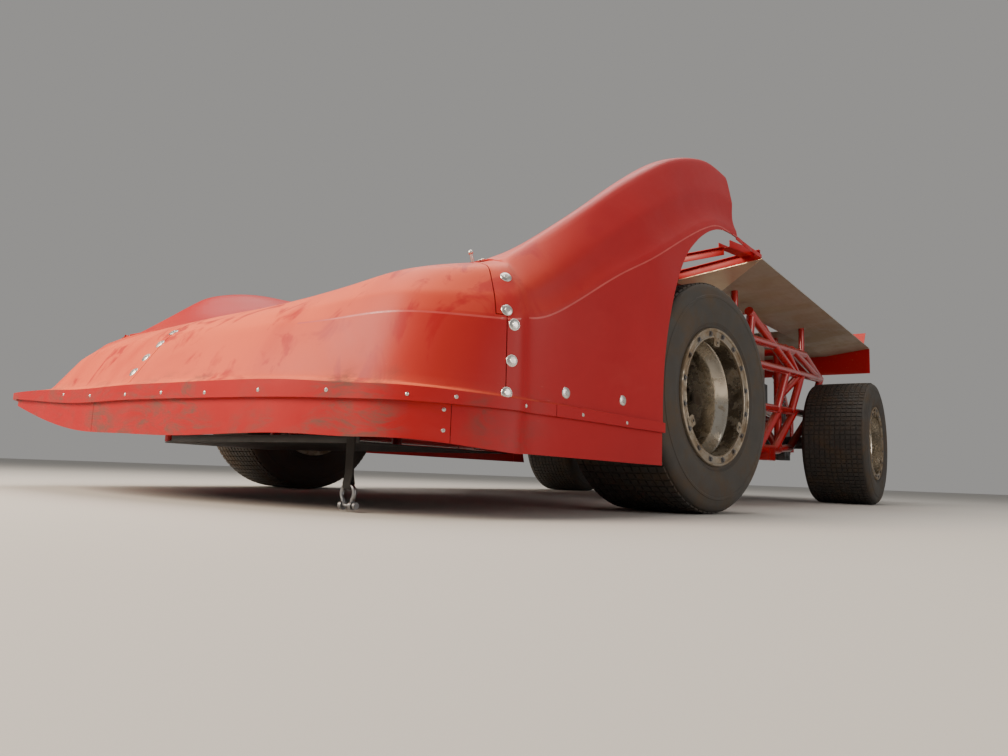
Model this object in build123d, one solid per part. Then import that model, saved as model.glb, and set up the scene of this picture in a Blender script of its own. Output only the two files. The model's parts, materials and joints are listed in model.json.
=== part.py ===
"""Dirt-track stock car with a wedge nose, left side panels off, standing on its wheels.

Frame: +X ahead, +Y to the car's left, +Z up, millimetres.  The origin lies on the floor
under the middle of the overall length.  Tables give places along the car as the distance
ahead of the front axle; at() turns them into the part's own frame.
"""
from build123d import *
import math
import os

# Overall sizes
wheelbase = 2616
nose_overhang = 1326
rear_overhang = 990
body_width = 2286
roof_height = 1238

# Wheels and tyres
tyre_radius = 362
tyre_width = 356
tread_width = 316
tyre_wall = 14
bead_radius = 190.8
bead_half_width = 160
beadlock_radius = 216
rim_flange_radius = 206
rim_wall = 6
drop_radius = 166
wheel_disc_inset = 238
disc_thickness = 10
disc_bore = 88
cover_circle_radius = 170
cover_hole_radius = 4
hub_radius = 60
hub_plate_radius = 148
spindle_radius = 24.7
rotor_radius = 142
rotor_thickness = 32
rotor_offset = 42

# Steering and suspension
kingpin_inset = 203
steer_now = -8
steer_arm = 130
arm_drop = 70
arm_plate = 18
ball_low = 150
ball_high = 168
knuckle_width = 26
rack_radius = 26
tie_rod_radius = 11
spring_radius = 30
ball_gap = 0.5
wheel_hub_back = 12
axle_tube_radius = 38

# Chassis tubes
rail_radius = 25
tube_radius = 22
brace_radius = 16
rod_radius = 11
rail_z = 240
kick_z = 260
rail_back_z = 300
rail_front = 430
rail_narrow = 360
rail_wide = 680
kick_front = -520
kick_back = -860
rail_back = -2200
tub_bar_z = 285
tub_bars = (-1500, -1950)
pad_x = (-1080, -1980)
pad_z = 230
pad_half = 60
cage_front = -1500
cage_back = -2300
cage_half = 500
roof_gap = 50
tuck = 6

# Sheets and clearances
skin = 5
sheet = 3
hood_half = 700
hood_front = 890
hood_back = -500
panel_gap = 4
seat_gap = 0.3

overall_length = wheelbase + nose_overhang + rear_overhang
front_axle = overall_length / 2 - nose_overhang
wheel_y = body_width / 2 - tyre_width / 2
kingpin_y = wheel_y - kingpin_inset
axle_z = tyre_radius
halo_z = roof_height - roof_gap
tail = -wheelbase - rear_overhang

parts = {}


def at(x, y, z):
    """A place in the part's frame from x ahead of the front axle."""
    return Vector(front_axle + x, y, z)


def box(x, y, z):
    """A block from pairs of limits, x counted ahead of the front axle."""
    low = at(x[0], y[0], z[0])
    high = at(x[1], y[1], z[1])
    size = high - low
    middle = (low + high) * 0.5
    return Pos(middle.X, middle.Y, middle.Z) * Box(abs(size.X), abs(size.Y), abs(size.Z))


def tube(a, b, radius):
    """A round bar between two places in the part's frame."""
    a = Vector(a)
    b = Vector(b)
    return Solid.make_cylinder(radius, (b - a).length, Plane(origin=a, z_dir=b - a))


def bars(rows, radius):
    """Round bars through rows of places, x counted ahead of the front axle."""
    made = []
    for row in rows:
        places = [at(*p) for p in row]
        made += [tube(a, b, radius) for a, b in zip(places, places[1:])]
    return made


def both(*rows):
    """Rows of places and their mirror images across the car."""
    return list(rows) + [[(x, -y, z) for x, y, z in row] for row in rows]


def weld(pieces, clear_of=()):
    """One piece from many, cut back by a clearance where other bars pass."""
    whole = pieces[0]
    for piece in pieces[1:]:
        whole = whole.fuse(piece)
    for rows, radius in clear_of:
        for bar in bars(rows, radius + seat_gap):
            whole = whole.cut(bar)
    return whole


def across(*places):
    """Straight bars across the car, tucked just inside the bars that they join."""
    return [[(x, tuck - half, z), (x, half - tuck, z)] for x, half, z in places]


def solids_of(shape):
    if isinstance(shape, (list, tuple)):
        found = []
        for one in shape:
            found += solids_of(one)
        return found
    return list(shape.solids())


def keep(name, *shapes, largest=0):
    """Note a finished node; loose solids on one body share it."""
    solids = solids_of(shapes)
    if largest:
        solids = sorted(solids, key=lambda s: -s.volume)[:largest]
    parts[name] = solids[0] if len(solids) == 1 else Compound(children=solids)


def other_side(shape):
    return mirror(shape, about=Plane.XZ)


def turned(profile):
    """A ring about the Y axis from points (radius, y)."""
    return revolve(make_face(Polyline(*profile, close=True)), axis=Axis.Y)


def inset(points, depth):
    """The row of 2-D points moved to its right-hand side by a depth, mitred."""
    normals = []
    for a, b in zip(points, points[1:]):
        length = math.hypot(b[0] - a[0], b[1] - a[1])
        normals.append(((b[1] - a[1]) / length, (a[0] - b[0]) / length))
    moved = []
    for i, p in enumerate(points):
        n = normals[max(i - 1, 0)]
        m = normals[min(i, len(normals) - 1)]
        scale = depth / (1 + n[0] * m[0] + n[1] * m[1])
        moved.append((p[0] + (n[0] + m[0]) * scale, p[1] + (n[1] + m[1]) * scale))
    return moved


def section(outer, inner, profile, depth):
    """A closed strip in the upright plane from outer to inner; profile is (distance in, z)."""
    length = math.hypot(inner[0] - outer[0], inner[1] - outer[1])
    ux = (inner[0] - outer[0]) / length
    uy = (inner[1] - outer[1]) / length
    strip = list(profile) + list(reversed(inset(profile, depth)))
    corners = [at(outer[0] + ux * s, outer[1] + uy * s, z) for s, z in strip]
    return Wire.make_polygon(corners, close=True)


def shell(sections):
    """A thin panel lofted straight through its sections."""
    return Solid.make_loft(sections, ruled=True)


def plates(triangles, thickness):
    """A folded sheet from triangles of top corners, x counted ahead of the front axle."""
    made = []
    for corners in triangles:
        face = make_face(Polyline(*[at(*c) for c in corners], close=True))
        made.append(extrude(face, amount=thickness, dir=(0, 0, -1)))
    return weld(made)


def post(foot, top, radius, *panels):
    """A bar from its foot out to the inner face of the panels it carries."""
    start = at(*foot)
    whole = tube(start, at(*top), radius)
    for panel in panels:
        whole = whole.cut(panel)
    return min(solids_of(whole), key=lambda s: (s.center() - start).length)


def carried(rows, radius, *panels):
    """Posts and stays out to the panels that they carry."""
    return [post(foot, top, radius, *panels) for foot, top in rows]


# Wheels and tyres, made about their own centre with the outer face to +Y
def make_tyre():
    half = tyre_width / 2
    tread = tread_width / 2
    crown = tyre_radius - 2
    shoulder = (tyre_radius - 20, half - 8)
    bulge = (tyre_radius - 72, half)
    bead = (beadlock_radius, bead_half_width)
    outer = [
        Line((bead_radius, -bead[1]), (bead[0], -bead[1])),
        ThreePointArc((bead[0], -bead[1]), (bulge[0], -bulge[1]), (shoulder[0], -shoulder[1])),
        Line((shoulder[0], -shoulder[1]), (crown, -tread)),
        ThreePointArc((crown, -tread), (tyre_radius, 0), (crown, tread)),
        Line((crown, tread), shoulder),
        ThreePointArc(shoulder, bulge, bead),
        Line(bead, (bead_radius, bead[1])),
    ]
    inner = Polyline(
        (bead_radius, bead[1]),
        (bead_radius, bead[1] - tyre_wall),
        (bulge[0], half - tyre_wall),
        (tyre_radius - 32, half - 2 * tyre_wall),
        (tyre_radius - tyre_wall, tread - tyre_wall),
        (tyre_radius - tyre_wall, tyre_wall - tread),
        (tyre_radius - 32, 2 * tyre_wall - half),
        (bulge[0], tyre_wall - half),
        (bead_radius, tyre_wall - bead[1]),
        (bead_radius, -bead[1]),
    )
    return revolve(make_face(Curve() + outer + [inner]), axis=Axis.Y)


def make_wheel():
    half = tyre_width / 2
    seat = bead_radius - seat_gap
    lip = bead_half_width + seat_gap
    face = lip + 10
    disc = half - wheel_disc_inset
    return turned([
        (rim_flange_radius, -face), (rim_flange_radius, -lip), (seat, -lip), (seat, -lip + 22),
        (drop_radius, -lip + 50), (drop_radius, lip - 80), (seat, lip - 46), (seat, lip),
        (beadlock_radius, lip), (beadlock_radius, face), (seat - rim_wall, face),
        (seat - rim_wall, lip - 50), (drop_radius - rim_wall, lip - 84),
        (drop_radius - rim_wall, disc + disc_thickness), (disc_bore, disc + disc_thickness),
        (disc_bore, disc), (drop_radius - rim_wall, disc), (drop_radius - rim_wall, -lip + 46),
        (seat - rim_wall, -lip + 18), (seat - rim_wall, -face),
    ])


def add_cover_tabs(rim):
    """Three drilled tabs on the outer ring that hold a mud cover."""
    face = bead_half_width + seat_gap + 10
    for turn in (0, 120, 240):
        tab = Pos(cover_circle_radius + 6, face - 3, 0) * Box(34, 6, 34)
        hole = Pos(cover_circle_radius, face, 0) * Rot(90, 0, 0) * Cylinder(cover_hole_radius, 20)
        rim = rim.fuse(Rot(0, turn - 90, 0) * tab).cut(Rot(0, turn - 90, 0) * hole)
    return rim


def make_hub():
    disc = tyre_width / 2 - wheel_disc_inset
    rotor = kingpin_y - wheel_y + rotor_offset
    bore = spindle_radius + seat_gap
    return turned([
        (bore, rotor), (rotor_radius, rotor), (rotor_radius, rotor + rotor_thickness),
        (hub_radius, rotor + rotor_thickness), (hub_radius, disc - 12),
        (hub_plate_radius, disc - 12), (hub_plate_radius, disc - seat_gap),
        (disc_bore - 6, disc - seat_gap), (disc_bore - 6, disc + 30), (40, disc + 52),
        (0, disc + 52), (0, disc + 40), (bore, disc + 40),
    ])


def corner_place(x, side, steer):
    """The moves that take a wheel from its own centre to its corner of the car."""
    facing = Rotation(0, 0, 0 if side > 0 else 180)
    out = Pos(0, side * (wheel_y - kingpin_y), 0)
    return Pos(*at(x, side * kingpin_y, axle_z)) * Rotation(0, 0, steer) * out * facing


tyre = make_tyre()
wheel = add_cover_tabs(make_wheel())
hub = make_hub()
corners = {
    "front_left": (0, 1, steer_now),
    "front_right": (0, -1, steer_now),
    "rear_left": (-wheelbase, 1, 0),
    "rear_right": (-wheelbase, -1, 0),
}
for corner, (x, side, steer) in corners.items():
    place = corner_place(x, side, steer)
    keep("tyre_" + corner, place * tyre)
    keep("wheel_" + corner, place * wheel)
    keep("hub_" + corner, place * hub)


# Steered knuckles, made about the kingpin with the wheel to +Y
def make_knuckle():
    caliper_y = rotor_offset + rotor_thickness / 2
    upright = Box(56, knuckle_width, ball_high + ball_low)
    upright = Pos(0, 0, (ball_high - ball_low) / 2) * upright
    spindle_length = wheel_y - kingpin_y + tyre_width / 2 - wheel_disc_inset + 39
    spindle = tube((0, 0, 0), (0, spindle_length, 0), spindle_radius)
    arm = Pos(steer_arm / 2, 0, -arm_drop) * Box(steer_arm + 24, knuckle_width, arm_plate)
    caliper = Pos(-rotor_radius + 22, caliper_y, 0) * Box(60, rotor_thickness + 44, 96)
    bracket = Pos(-70, 9, 0) * Box(110, 30, 70)
    slot = Pos(0, caliper_y, 0) * Rotation(90, 0, 0)
    slot = slot * Cylinder(rotor_radius + 4, rotor_thickness + 8)
    return upright.fuse(spindle, arm, caliper.cut(slot), bracket)


knuckle = make_knuckle()
for side, name in ((1, "left"), (-1, "right")):
    body = knuckle if side > 0 else other_side(knuckle)
    place = Pos(*at(0, side * kingpin_y, axle_z)) * Rotation(0, 0, steer_now)
    keep("knuckle_" + name, place * body)

# Chassis tables: rows of places (x ahead of the front axle, y, z)
rail_line = [
    (rail_front, rail_narrow, rail_z), (kick_front, rail_narrow, rail_z),
    (kick_back, rail_wide, kick_z), (rail_back, rail_wide, rail_back_z),
]
rail_rows = both(rail_line)
rail_rows += across(*rail_line, *[(x, rail_wide, tub_bar_z) for x in tub_bars])

clip_z = 560
rear_top = (-2640, 545, 860)
dash_bar = (kick_back - 130, 640, 960)
rear_hoop = (cage_back - 40, 640, 900)
cage_rows = both([
    (kick_back, rail_wide, kick_z), dash_bar, (cage_front, cage_half, halo_z),
    (cage_back, cage_half, halo_z), rear_hoop, (rail_back, rail_wide, rail_back_z),
])
cage_rows += across(
    dash_bar, (cage_front, cage_half, halo_z), (cage_back, cage_half, halo_z), rear_hoop)

door_rows = [
    [(-899, 668, 470), (-1040, 740, 478), (-2700, 740, 545)],
    [(-936, 657, 670), (-1080, 780, 678), (-2800, 780, 782)],
    [(-958, 650, 790), (-1100, 780, 795), (-2400, 780, 885), (-2800, 780, 782),
     (-2700, 740, 545), (-2400, 690, 320), (-2205, 682, 305)],
    [(-1400, 680, rail_z + 35), (-1400, 742, 490), (-1400, 780, 950)],
    [(-1360, 780, 950), (-2180, 780, 738)],
    [(-1980, 780, 862), (-2240, 780, 742)],
    [(-2120, 780, 872), (-2780, 780, 782)],
    [(-1950, 742, 500), (-2020, 780, 728)],
    [(-2240, 742, 515), (-2330, 780, 742)],
    [(-1820, 680, rail_z + 50), (-1990, 742, 510)],
    [(-2120, 680, rail_z + 55), (-2300, 742, 520)],
    [(-2262, 656, 600), (-2290, 780, 745)],
]

rear_rows = both([
    (rail_back, rail_wide, rail_back_z), (-2330, 470, 600), (-2900, 450, clip_z),
    (-3330, 450, clip_z), (-3330, 450, 330),
], [rear_hoop, rear_top, (-3290, 450, clip_z)])
rear_rows += across(
    (-2330, 470, 600), (-2900, 450, clip_z), (-2970, 450, clip_z), (-3260, 450, clip_z),
    (-3330, 450, clip_z), (-3330, 450, 330), rear_top)

arm_bar = (190, 372, 505)
front_rows = both(
    [(rail_front, rail_narrow, rail_z), (rail_front, rail_narrow, 600), (60, 340, 640),
     (kick_front, rail_narrow, 660), (kick_back - 120, 630, 900)],
    [(arm_bar[0], rail_narrow, rail_z), arm_bar, (-arm_bar[0], arm_bar[1], arm_bar[2]),
     (-arm_bar[0], rail_narrow, rail_z)],
    [arm_bar, (arm_bar[0], 346, 628)],
)
front_rows += across((rail_front, rail_narrow, 600))

bumper_x = 1120
bumper_high = 430
bumper_low = 300
bumper_rows = both([(rail_front, 300, 600), (bumper_x, 300, bumper_high),
                    (bumper_x, 300, bumper_low), (rail_front, 300, rail_z)])
bumper_rows += across((bumper_x, 480, bumper_high), (bumper_x, 680, bumper_low))
tray_z = 160
tray_top = tray_z + sheet + seat_gap
bumper_rows += both([(600, 300, 255), (600, 300, tray_top)],
                    [(1000, 300, 290), (1000, 300, tray_top)])

rails = (rail_rows, rail_radius)
cage = (cage_rows, tube_radius)
left_doors = (door_rows, tube_radius)
right_doors = ([[(x, -y, z) for x, y, z in row] for row in door_rows], tube_radius)
front = (front_rows, tube_radius)
rear = (rear_rows, tube_radius)
bumper = (bumper_rows, brace_radius)

pads = []
for x in pad_x:
    rise = (rail_back_z - kick_z) * (kick_back - x) / (kick_back - rail_back)
    for y in (rail_wide, -rail_wide):
        edges = (y - pad_half / 2, y + pad_half / 2)
        pads.append(box((x - pad_half, x + pad_half), edges, (pad_z, kick_z + rise)))
keep("main_rails", weld(bars(*rails) + pads), largest=1)

# Body shell: upright sections across the nose, then along each fender, nine points a section:
# gap line, band top, ledge, crease, side, outer crest, inner crest, foot, edge of the hood
# nose rows: outline x, outline y, edge x, edge y, shares of the way in, heights
nose_middle = (
    nose_overhang, 0, hood_front, 0,
    (0, 0, .045, .24, .40, .58, .74, .88, 1), (254, 293, 306, 428, 487, 523, 547, 564, 576))
left_nose = [
    nose_middle,
    (1316, 250, hood_front, 220,
     (0, 0, .045, .24, .40, .58, .74, .88, 1), (253, 292, 306, 430, 490, 530, 555, 575, 590)),
    (1286, 550, hood_front, 450,
     (0, 0, .04, .22, .36, .54, .70, .86, 1), (251, 291, 304, 436, 497, 544, 573, 596, 613)),
    (1235, 740, hood_front, 570,
     (0, 0, .04, .17, .28, .44, .60, .80, 1), (248, 282, 296, 444, 508, 555, 582, 604, 622)),
    (1166, 882, hood_front, 700,
     (0, 0, .03, .12, .21, .33, .48, .72, 1), (245, 277, 288, 446, 512, 558, 582, 606, 624)),
    (1000, 1000, hood_front, 830,
     (0, 0, .015, .05, .20, .34, .50, .74, 1), (240, 266, 276, 444, 526, 572, 592, 610, 622)),
]
# the right half sits lower, and its lip is bent up at the corner
right_nose = [
    nose_middle,
    (1316, 250, hood_front, 220,
     (0, 0, .05, .24, .40, .58, .74, .88, 1), (254, 292, 305, 424, 478, 514, 538, 557, 571)),
    (1294, 520, hood_front, 450,
     (0, 0, .08, .26, .40, .56, .72, .88, 1), (268, 302, 312, 414, 458, 496, 526, 552, 571)),
    (1272, 755, hood_front, 570,
     (0, 0, .22, .38, .50, .62, .74, .88, 1), (283, 304, 324, 412, 448, 476, 508, 540, 568)),
    (1190, 890, hood_front, 700,
     (0, 0, .26, .44, .56, .66, .76, .88, 1), (279, 302, 334, 436, 482, 506, 524, 544, 567)),
    (1000, 1000, hood_front, 830,
     (0, 0, .10, .30, .45, .58, .72, .86, 1), (250, 276, 300, 440, 496, 524, 538, 550, 562)),
]
# fender table: x, distances from the middle of the car, left heights, right heights
fender_table = [
    (886, (1027, 1027, 1022, 1019, 990, 930, 890, 858, 826),
     (236, 264, 273, 466, 560, 622, 628, 632, 628), (248, 274, 283, 448, 504, 540, 550, 556, 564)),
    (850, (1035, 1035, 1029, 1027, 1000, 945, 895, 852, 812),
     (236, 264, 273, 481, 586, 660, 654, 648, 642), (247, 273, 282, 452, 514, 555, 564, 570, 576)),
    (665, (1070, 1070, 1064, 1060, 1034, 985, 925, 828, 772),
     (232, 260, 270, 594, 706, 800, 786, 740, 722), (240, 266, 276, 520, 608, 674, 680, 652, 640)),
    (530, (1090, 1090, 1084, 1078, 1052, 1003, 940, 828, 742),
     (229, 257, 267, 668, 790, 898, 884, 806, 770), (236, 262, 272, 580, 680, 765, 770, 704, 678)),
    (420, (1108, 1108, 1102, 1090, 1064, 1012, 950, 828, 718),
     (227, 254, 264, 727, 860, 972, 961, 838, 798), (232, 258, 268, 640, 740, 818, 822, 742, 716)),
    (200, (1118, 1118, 1112, 1085, 1062, 1022, 958, 830, hood_half),
     (222, 249, 259, 843, 980, 1098, 1092, 892, 862), (224, 250, 260, 738, 814, 872, 870, 800, 787)),
    (-50, (1120, 1120, 1114, 1068, 1052, 1022, 962, 840, hood_half),
     (215, 242, 252, 952, 1082, 1196, 1194, 952, 926), (215, 242, 252, 838, 868, 886, 892, 872, 864)),
    (-200, (1120, 1120, 1114, 1058, 1048, 1022, 964, 846, hood_half),
     (212, 239, 249, 982, 1120, 1229, 1226, 976, 955), (212, 239, 249, 870, 908, 934, 940, 920, 910)),
    (-340, (1120, 1120, 1114, 1050, 1045, 1020, 964, 850, hood_half),
     (210, 237, 247, 998, 1130, 1236, 1234, 1000, 985), (210, 237, 247, 900, 950, 982, 988, 966, 957)),
]


def nose_wire(row):
    x, y, edge_x, edge_y, shares, heights = row
    length = math.hypot(edge_x - x, edge_y - y)
    profile = [(share * length, z) for share, z in zip(shares, heights)]
    return section((x, y), (edge_x, edge_y), profile, skin)


def fender_wire(x, widths, heights):
    profile = [(widths[0] - y, z) for y, z in zip(widths, heights)]
    return section((x, widths[0]), (x, 0), profile, skin)


# Wheel openings in x and z: the arcs of the front edge, then the height of the top
left_arch = ([((400, 317), (346, 580), (230, 771)), ((230, 771), (47, 895), (-142, 969))], 990)
right_arch = ([((400, 317), (360, 580), (230, 740)), ((230, 740), (47, 802), (-142, 832))], 840)


def arch_cutter(arch):
    """A wheel opening pushed across the left side."""
    arcs, top = arch
    start = arcs[0][0]
    outline = [Line((start[0], 0), start)] + [ThreePointArc(*arc) for arc in arcs]
    outline += [Line(arcs[-1][2], (-400, top)), Line((-400, top), (-400, 0)),
                Line((-400, 0), (start[0], 0))]
    plane = Plane(origin=at(0, 860, 0), x_dir=(1, 0, 0), z_dir=(0, -1, 0))
    return extrude(plane * make_face(Curve() + outline), amount=-500)


def body_half(nose_rows, column, arch):
    """The nose half and the fender of one side, both made to +Y."""
    sections = [nose_wire(nose_rows[-1])]
    for x, widths, *heights in fender_table:
        sections.append(fender_wire(x, widths, heights[column]))
    panel = shell(sections).cut(arch_cutter(arch))
    return shell([nose_wire(row) for row in nose_rows]), max(solids_of(panel), key=lambda s: s.volume)


nose, fender = body_half(left_nose, 0, left_arch)
low_nose, low_fender = [other_side(half) for half in body_half(right_nose, 1, right_arch)]
keep("nose_left", nose)
keep("nose_right", low_nose)
keep("fender_left", fender)
keep("fender_right", low_fender)

# hood table: heights from its left edge to its right edge, at the fender sections, then its back
hood_shares = (0, .31, .5, .69, 1)
hood_heights = [
    (626, 598, 578, 573, 566), (640, 608, 588, 583, 576), (712, 660, 638, 636, 637),
    (762, 702, 678, 676, 676), (790, 738, 714, 714, 713), (850, 802, 782, 782, 782),
    (915, 876, 860, 860, 860), (952, 921, 906, 906, 906), (980, 959, 950, 950, 950),
    (1004, 1001, 1000, 1000, 1000),
]
hood_line = [(row[0], row[1][-1]) for row in fender_table] + [(hood_back, hood_half)]
hood_sections = []
for (x, edge), heights in zip(hood_line, hood_heights):
    half = edge - panel_gap
    profile = [(share * 2 * half, z) for share, z in zip(hood_shares, heights)]
    hood_sections.append(section((x, half), (x, -half), profile, sheet))
hood = shell(hood_sections)
keep("hood", hood)

# Lip strip over the foot of the shell, and the valance behind it
strip_skin = 4
valance_lap = 14
strip_end = 200
left_low = [169, 164, 172, 167, 165, 147, 145, 144, 141, 139, 138, 136]
right_low = [169, 178, 215, 262]
left_seam = .488
right_seam = .64


def foot_rows(nose_rows, column, lows):
    """Outline place, way in, gap line, band top and valance foot at the sections of a side."""
    rows = []
    for x, y, edge_x, edge_y, shares, heights in nose_rows:
        length = math.hypot(edge_x - x, edge_y - y)
        rows.append([x, y, (edge_x - x) / length, (edge_y - y) / length, heights[0], heights[1]])
    for x, widths, *heights in fender_table:
        if x >= strip_end:
            rows.append([x, widths[0], 0, -1, heights[column][0], heights[column][1]])
    return [row + [low] for row, low in zip(rows, lows + [0] * (len(rows) - len(lows)))]


def midway(rows, index, share):
    """A place on the foot between one section and the next."""
    return [a + (b - a) * share for a, b in zip(rows[index], rows[index + 1])]


def strip(rows):
    """The lip strip just outside the foot of the shell."""
    out = seat_gap + strip_skin
    made = []
    for x, y, ux, uy, gap, top, low in rows:
        profile = ((-out, gap), (-out, top))
        made.append(section((x, y), (x + 100 * ux, y + 100 * uy), profile, strip_skin))
    return shell(made)


def valance(rows):
    """An upright strip just behind the foot of the shell."""
    back = skin + seat_gap
    made = []
    for x, y, ux, uy, gap, top, low in rows:
        profile = ((back, low), (back, gap + valance_lap))
        made.append(section((x, y), (x + 100 * ux, y + 100 * uy), profile, skin))
    return shell(made)


left_foot = foot_rows(left_nose, 0, left_low)
right_foot = foot_rows(right_nose, 1, right_low)
lip_left = strip(left_foot).cut(arch_cutter(left_arch))
lip_right = other_side(strip(right_foot).cut(arch_cutter(right_arch)))
keep("lip_strip", lip_left, lip_right)
left_joint = midway(left_foot, 4, left_seam)
right_joint = midway(right_foot, 0, right_seam)
centre = valance(left_foot[:5] + [left_joint])
keep("valance_front", centre, other_side(valance([right_foot[0], right_joint])))
keep("valance_left", valance([left_joint] + left_foot[5:]).cut(arch_cutter(left_arch)))
keep("valance_right", other_side(valance([right_joint] + right_foot[1:4])))
keep("undertray", box((470, 1080), (-640, 640), (tray_z, tray_z + sheet)))

# Interior deck: folded sheets from the door tops inward
deck_front = -700
deck_rear = tail + 110
deck_left = plates([
    ((deck_front, 1045, 1012), (deck_front, 660, 965), (-1200, 660, 1000)),
    ((deck_front, 1045, 1012), (-1200, 660, 1000), (deck_rear, 957, 1085)),
    ((-1200, 660, 1000), (deck_rear, 957, 1085), (deck_rear, 660, 1045)),
], sheet)
deck_cutters = [cage, left_doors, right_doors]
deck_left = weld([deck_left], deck_cutters)
keep("deck_left", deck_left, largest=1)
keep("deck_right", other_side(deck_left), largest=1)
deck_rear_sheet = box((deck_rear, -2420), (-659, 659), (1045 - sheet, 1045))
keep("deck_rear", deck_rear_sheet)
cowl = box((-1120, hood_back - panel_gap), (-655, 655), (1000 - sheet, 1000))
cowl = weld([cowl], deck_cutters)
keep("cowl", cowl, largest=1)
centre_deck = box((-2415, -1124), (-655, 130), (1000 - sheet, 1000))
centre_deck = weld([centre_deck], deck_cutters)
keep("deck_centre", centre_deck, largest=1)

# Tail panel and spoiler
tail_panel = box((deck_rear - sheet - seat_gap, deck_rear - seat_gap), (-957, 957), (905, 1080))
keep("tail_panel", tail_panel)
spoiler_row = [(deck_rear, 1080 + seat_gap), (tail + 4, 1215)]
spoiler_face = make_face(Polyline(
    (spoiler_row[0][0], spoiler_row[0][1]), (spoiler_row[1][0], spoiler_row[1][1]),
    (spoiler_row[1][0] - 4, spoiler_row[1][1]), (spoiler_row[0][0] - 4, spoiler_row[0][1]), close=True))
spoiler_plane = Plane(origin=at(0, -915, 0), x_dir=(1, 0, 0), z_dir=(0, -1, 0))
keep("spoiler", extrude(spoiler_plane * spoiler_face, amount=-1830))

# Roof
roof_sections = []
for x in (-1400, -1440, -2560, -2600):
    drop = 20 if x in (-1400, -2600) else 0
    z = roof_height - 14 - drop
    half = 610
    profile = ((0, z), (half * 0.35, z + 10), (half, z + 14), (half * 1.65, z + 10), (half * 2, z))
    roof_sections.append(section((x, half), (x, -half), profile, sheet))
roof = shell(roof_sections)
keep("roof", roof)

# Right side panels, kept on this side only
door_wire = []
for x in (-640, -1300, -2080):
    door_wire.append(section((x, 1120), (x, 0), ((0, 190), (10, 560), (74, 995)), skin))
door = shell(door_wire)
keep("door_panel_right", other_side(door))
quarter_wire = []
for x in (-2084, -2900, deck_rear):
    quarter_wire.append(section((x, 1120), (x, 0), ((0, 190), (10, 560), (78, 1000)), skin))
quarter = shell(quarter_wire)
well = Pos(*at(-wheelbase, 1100, axle_z)) * Rotation(90, 0, 0) * Cylinder(tyre_radius + 70, 400)
quarter = quarter.cut(well)
keep("quarter_panel_right", other_side(quarter), largest=1)

# Chassis nodes, with the posts that carry the panels
roof_posts = both([(cage_front - 60, cage_half, halo_z), (cage_front - 60, cage_half, roof_height)],
                  [(cage_back + 60, cage_half, halo_z), (cage_back + 60, cage_half, roof_height)])
cowl_posts = both([(dash_bar[0], 400, dash_bar[2]), (dash_bar[0], 400, 1100)])
cage_posts = carried(roof_posts, brace_radius, roof) + carried(cowl_posts, brace_radius, cowl)
keep("roll_cage", weld(bars(*cage) + cage_posts, [rails]), largest=1)

door_frame = weld(bars(*left_doors), [rails, cage])
deck_posts = [[(-1150, 780, 797), (-1150, 780, 1100)], [(-2350, 780, 880), (-2350, 780, 1150)]]
door_frame = weld([door_frame] + carried(deck_posts, brace_radius, deck_left))
keep("door_bars_left", door_frame, largest=1)
stays = [[(-1300, -780, 698), (-1300, -1200, 698)], [(-1900, -780, 727), (-1900, -1200, 727)]]
door_stays = carried(stays, rod_radius, other_side(door))
keep("door_bars_right", weld([other_side(door_frame)] + door_stays), largest=1)

rear_posts = both([rear_top, (rear_top[0], rear_top[1], 1150)])
quarter_stays = [[(-3330, -450, clip_z), (-3330, -1200, clip_z)]]
rear_stays = carried(quarter_stays, rod_radius, other_side(quarter))
rear_frame = weld(bars(*rear), [rails, cage, left_doors, right_doors])
rear_frame = weld([rear_frame] + carried(rear_posts, brace_radius, deck_rear_sheet) + rear_stays)
keep("rear_clip", rear_frame, largest=1)

hood_posts = both([(-400, 356, 656), (-400, 356, 1100)],
                  [(400, rail_narrow, 601), (400, rail_narrow, 900)])
front_posts = carried(hood_posts, rod_radius, hood)
left_stay = [(-250, 350, 650), (-250, 790, 1010)]
right_stay = [(-250, -350, 650), (-250, -820, 974)]
front_posts += carried([left_stay], rod_radius, fender)
front_posts += carried([right_stay], rod_radius, low_fender)
front_frame = weld(bars(*front), [rails, cage])
front_frame = weld([front_frame] + front_posts)
keep("front_clip", front_frame, largest=1)

nose_posts = both([(1000, 300, 465), (1000, 300, 700)])
bumper_frame = weld(bars(*bumper), [rails, front])
bumper_frame = weld([bumper_frame] + carried(nose_posts, rod_radius, nose, low_nose))
keep("front_bumper", bumper_frame, largest=1)

# Cockpit
tub_x = (-2150, -1080)
tub_y = (130, 620)
tub_top = 940
floor_z = tub_bar_z + rail_radius + seat_gap
tub = box(tub_x, tub_y, (floor_z, tub_top))
hollow_x = (tub_x[0] + sheet, tub_x[1] - sheet)
hollow_y = (tub_y[0] + sheet, tub_y[1] - sheet)
tub = tub.cut(box(hollow_x, hollow_y, (floor_z + sheet, tub_top + sheet)))
keep("cockpit_tub", tub)

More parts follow.
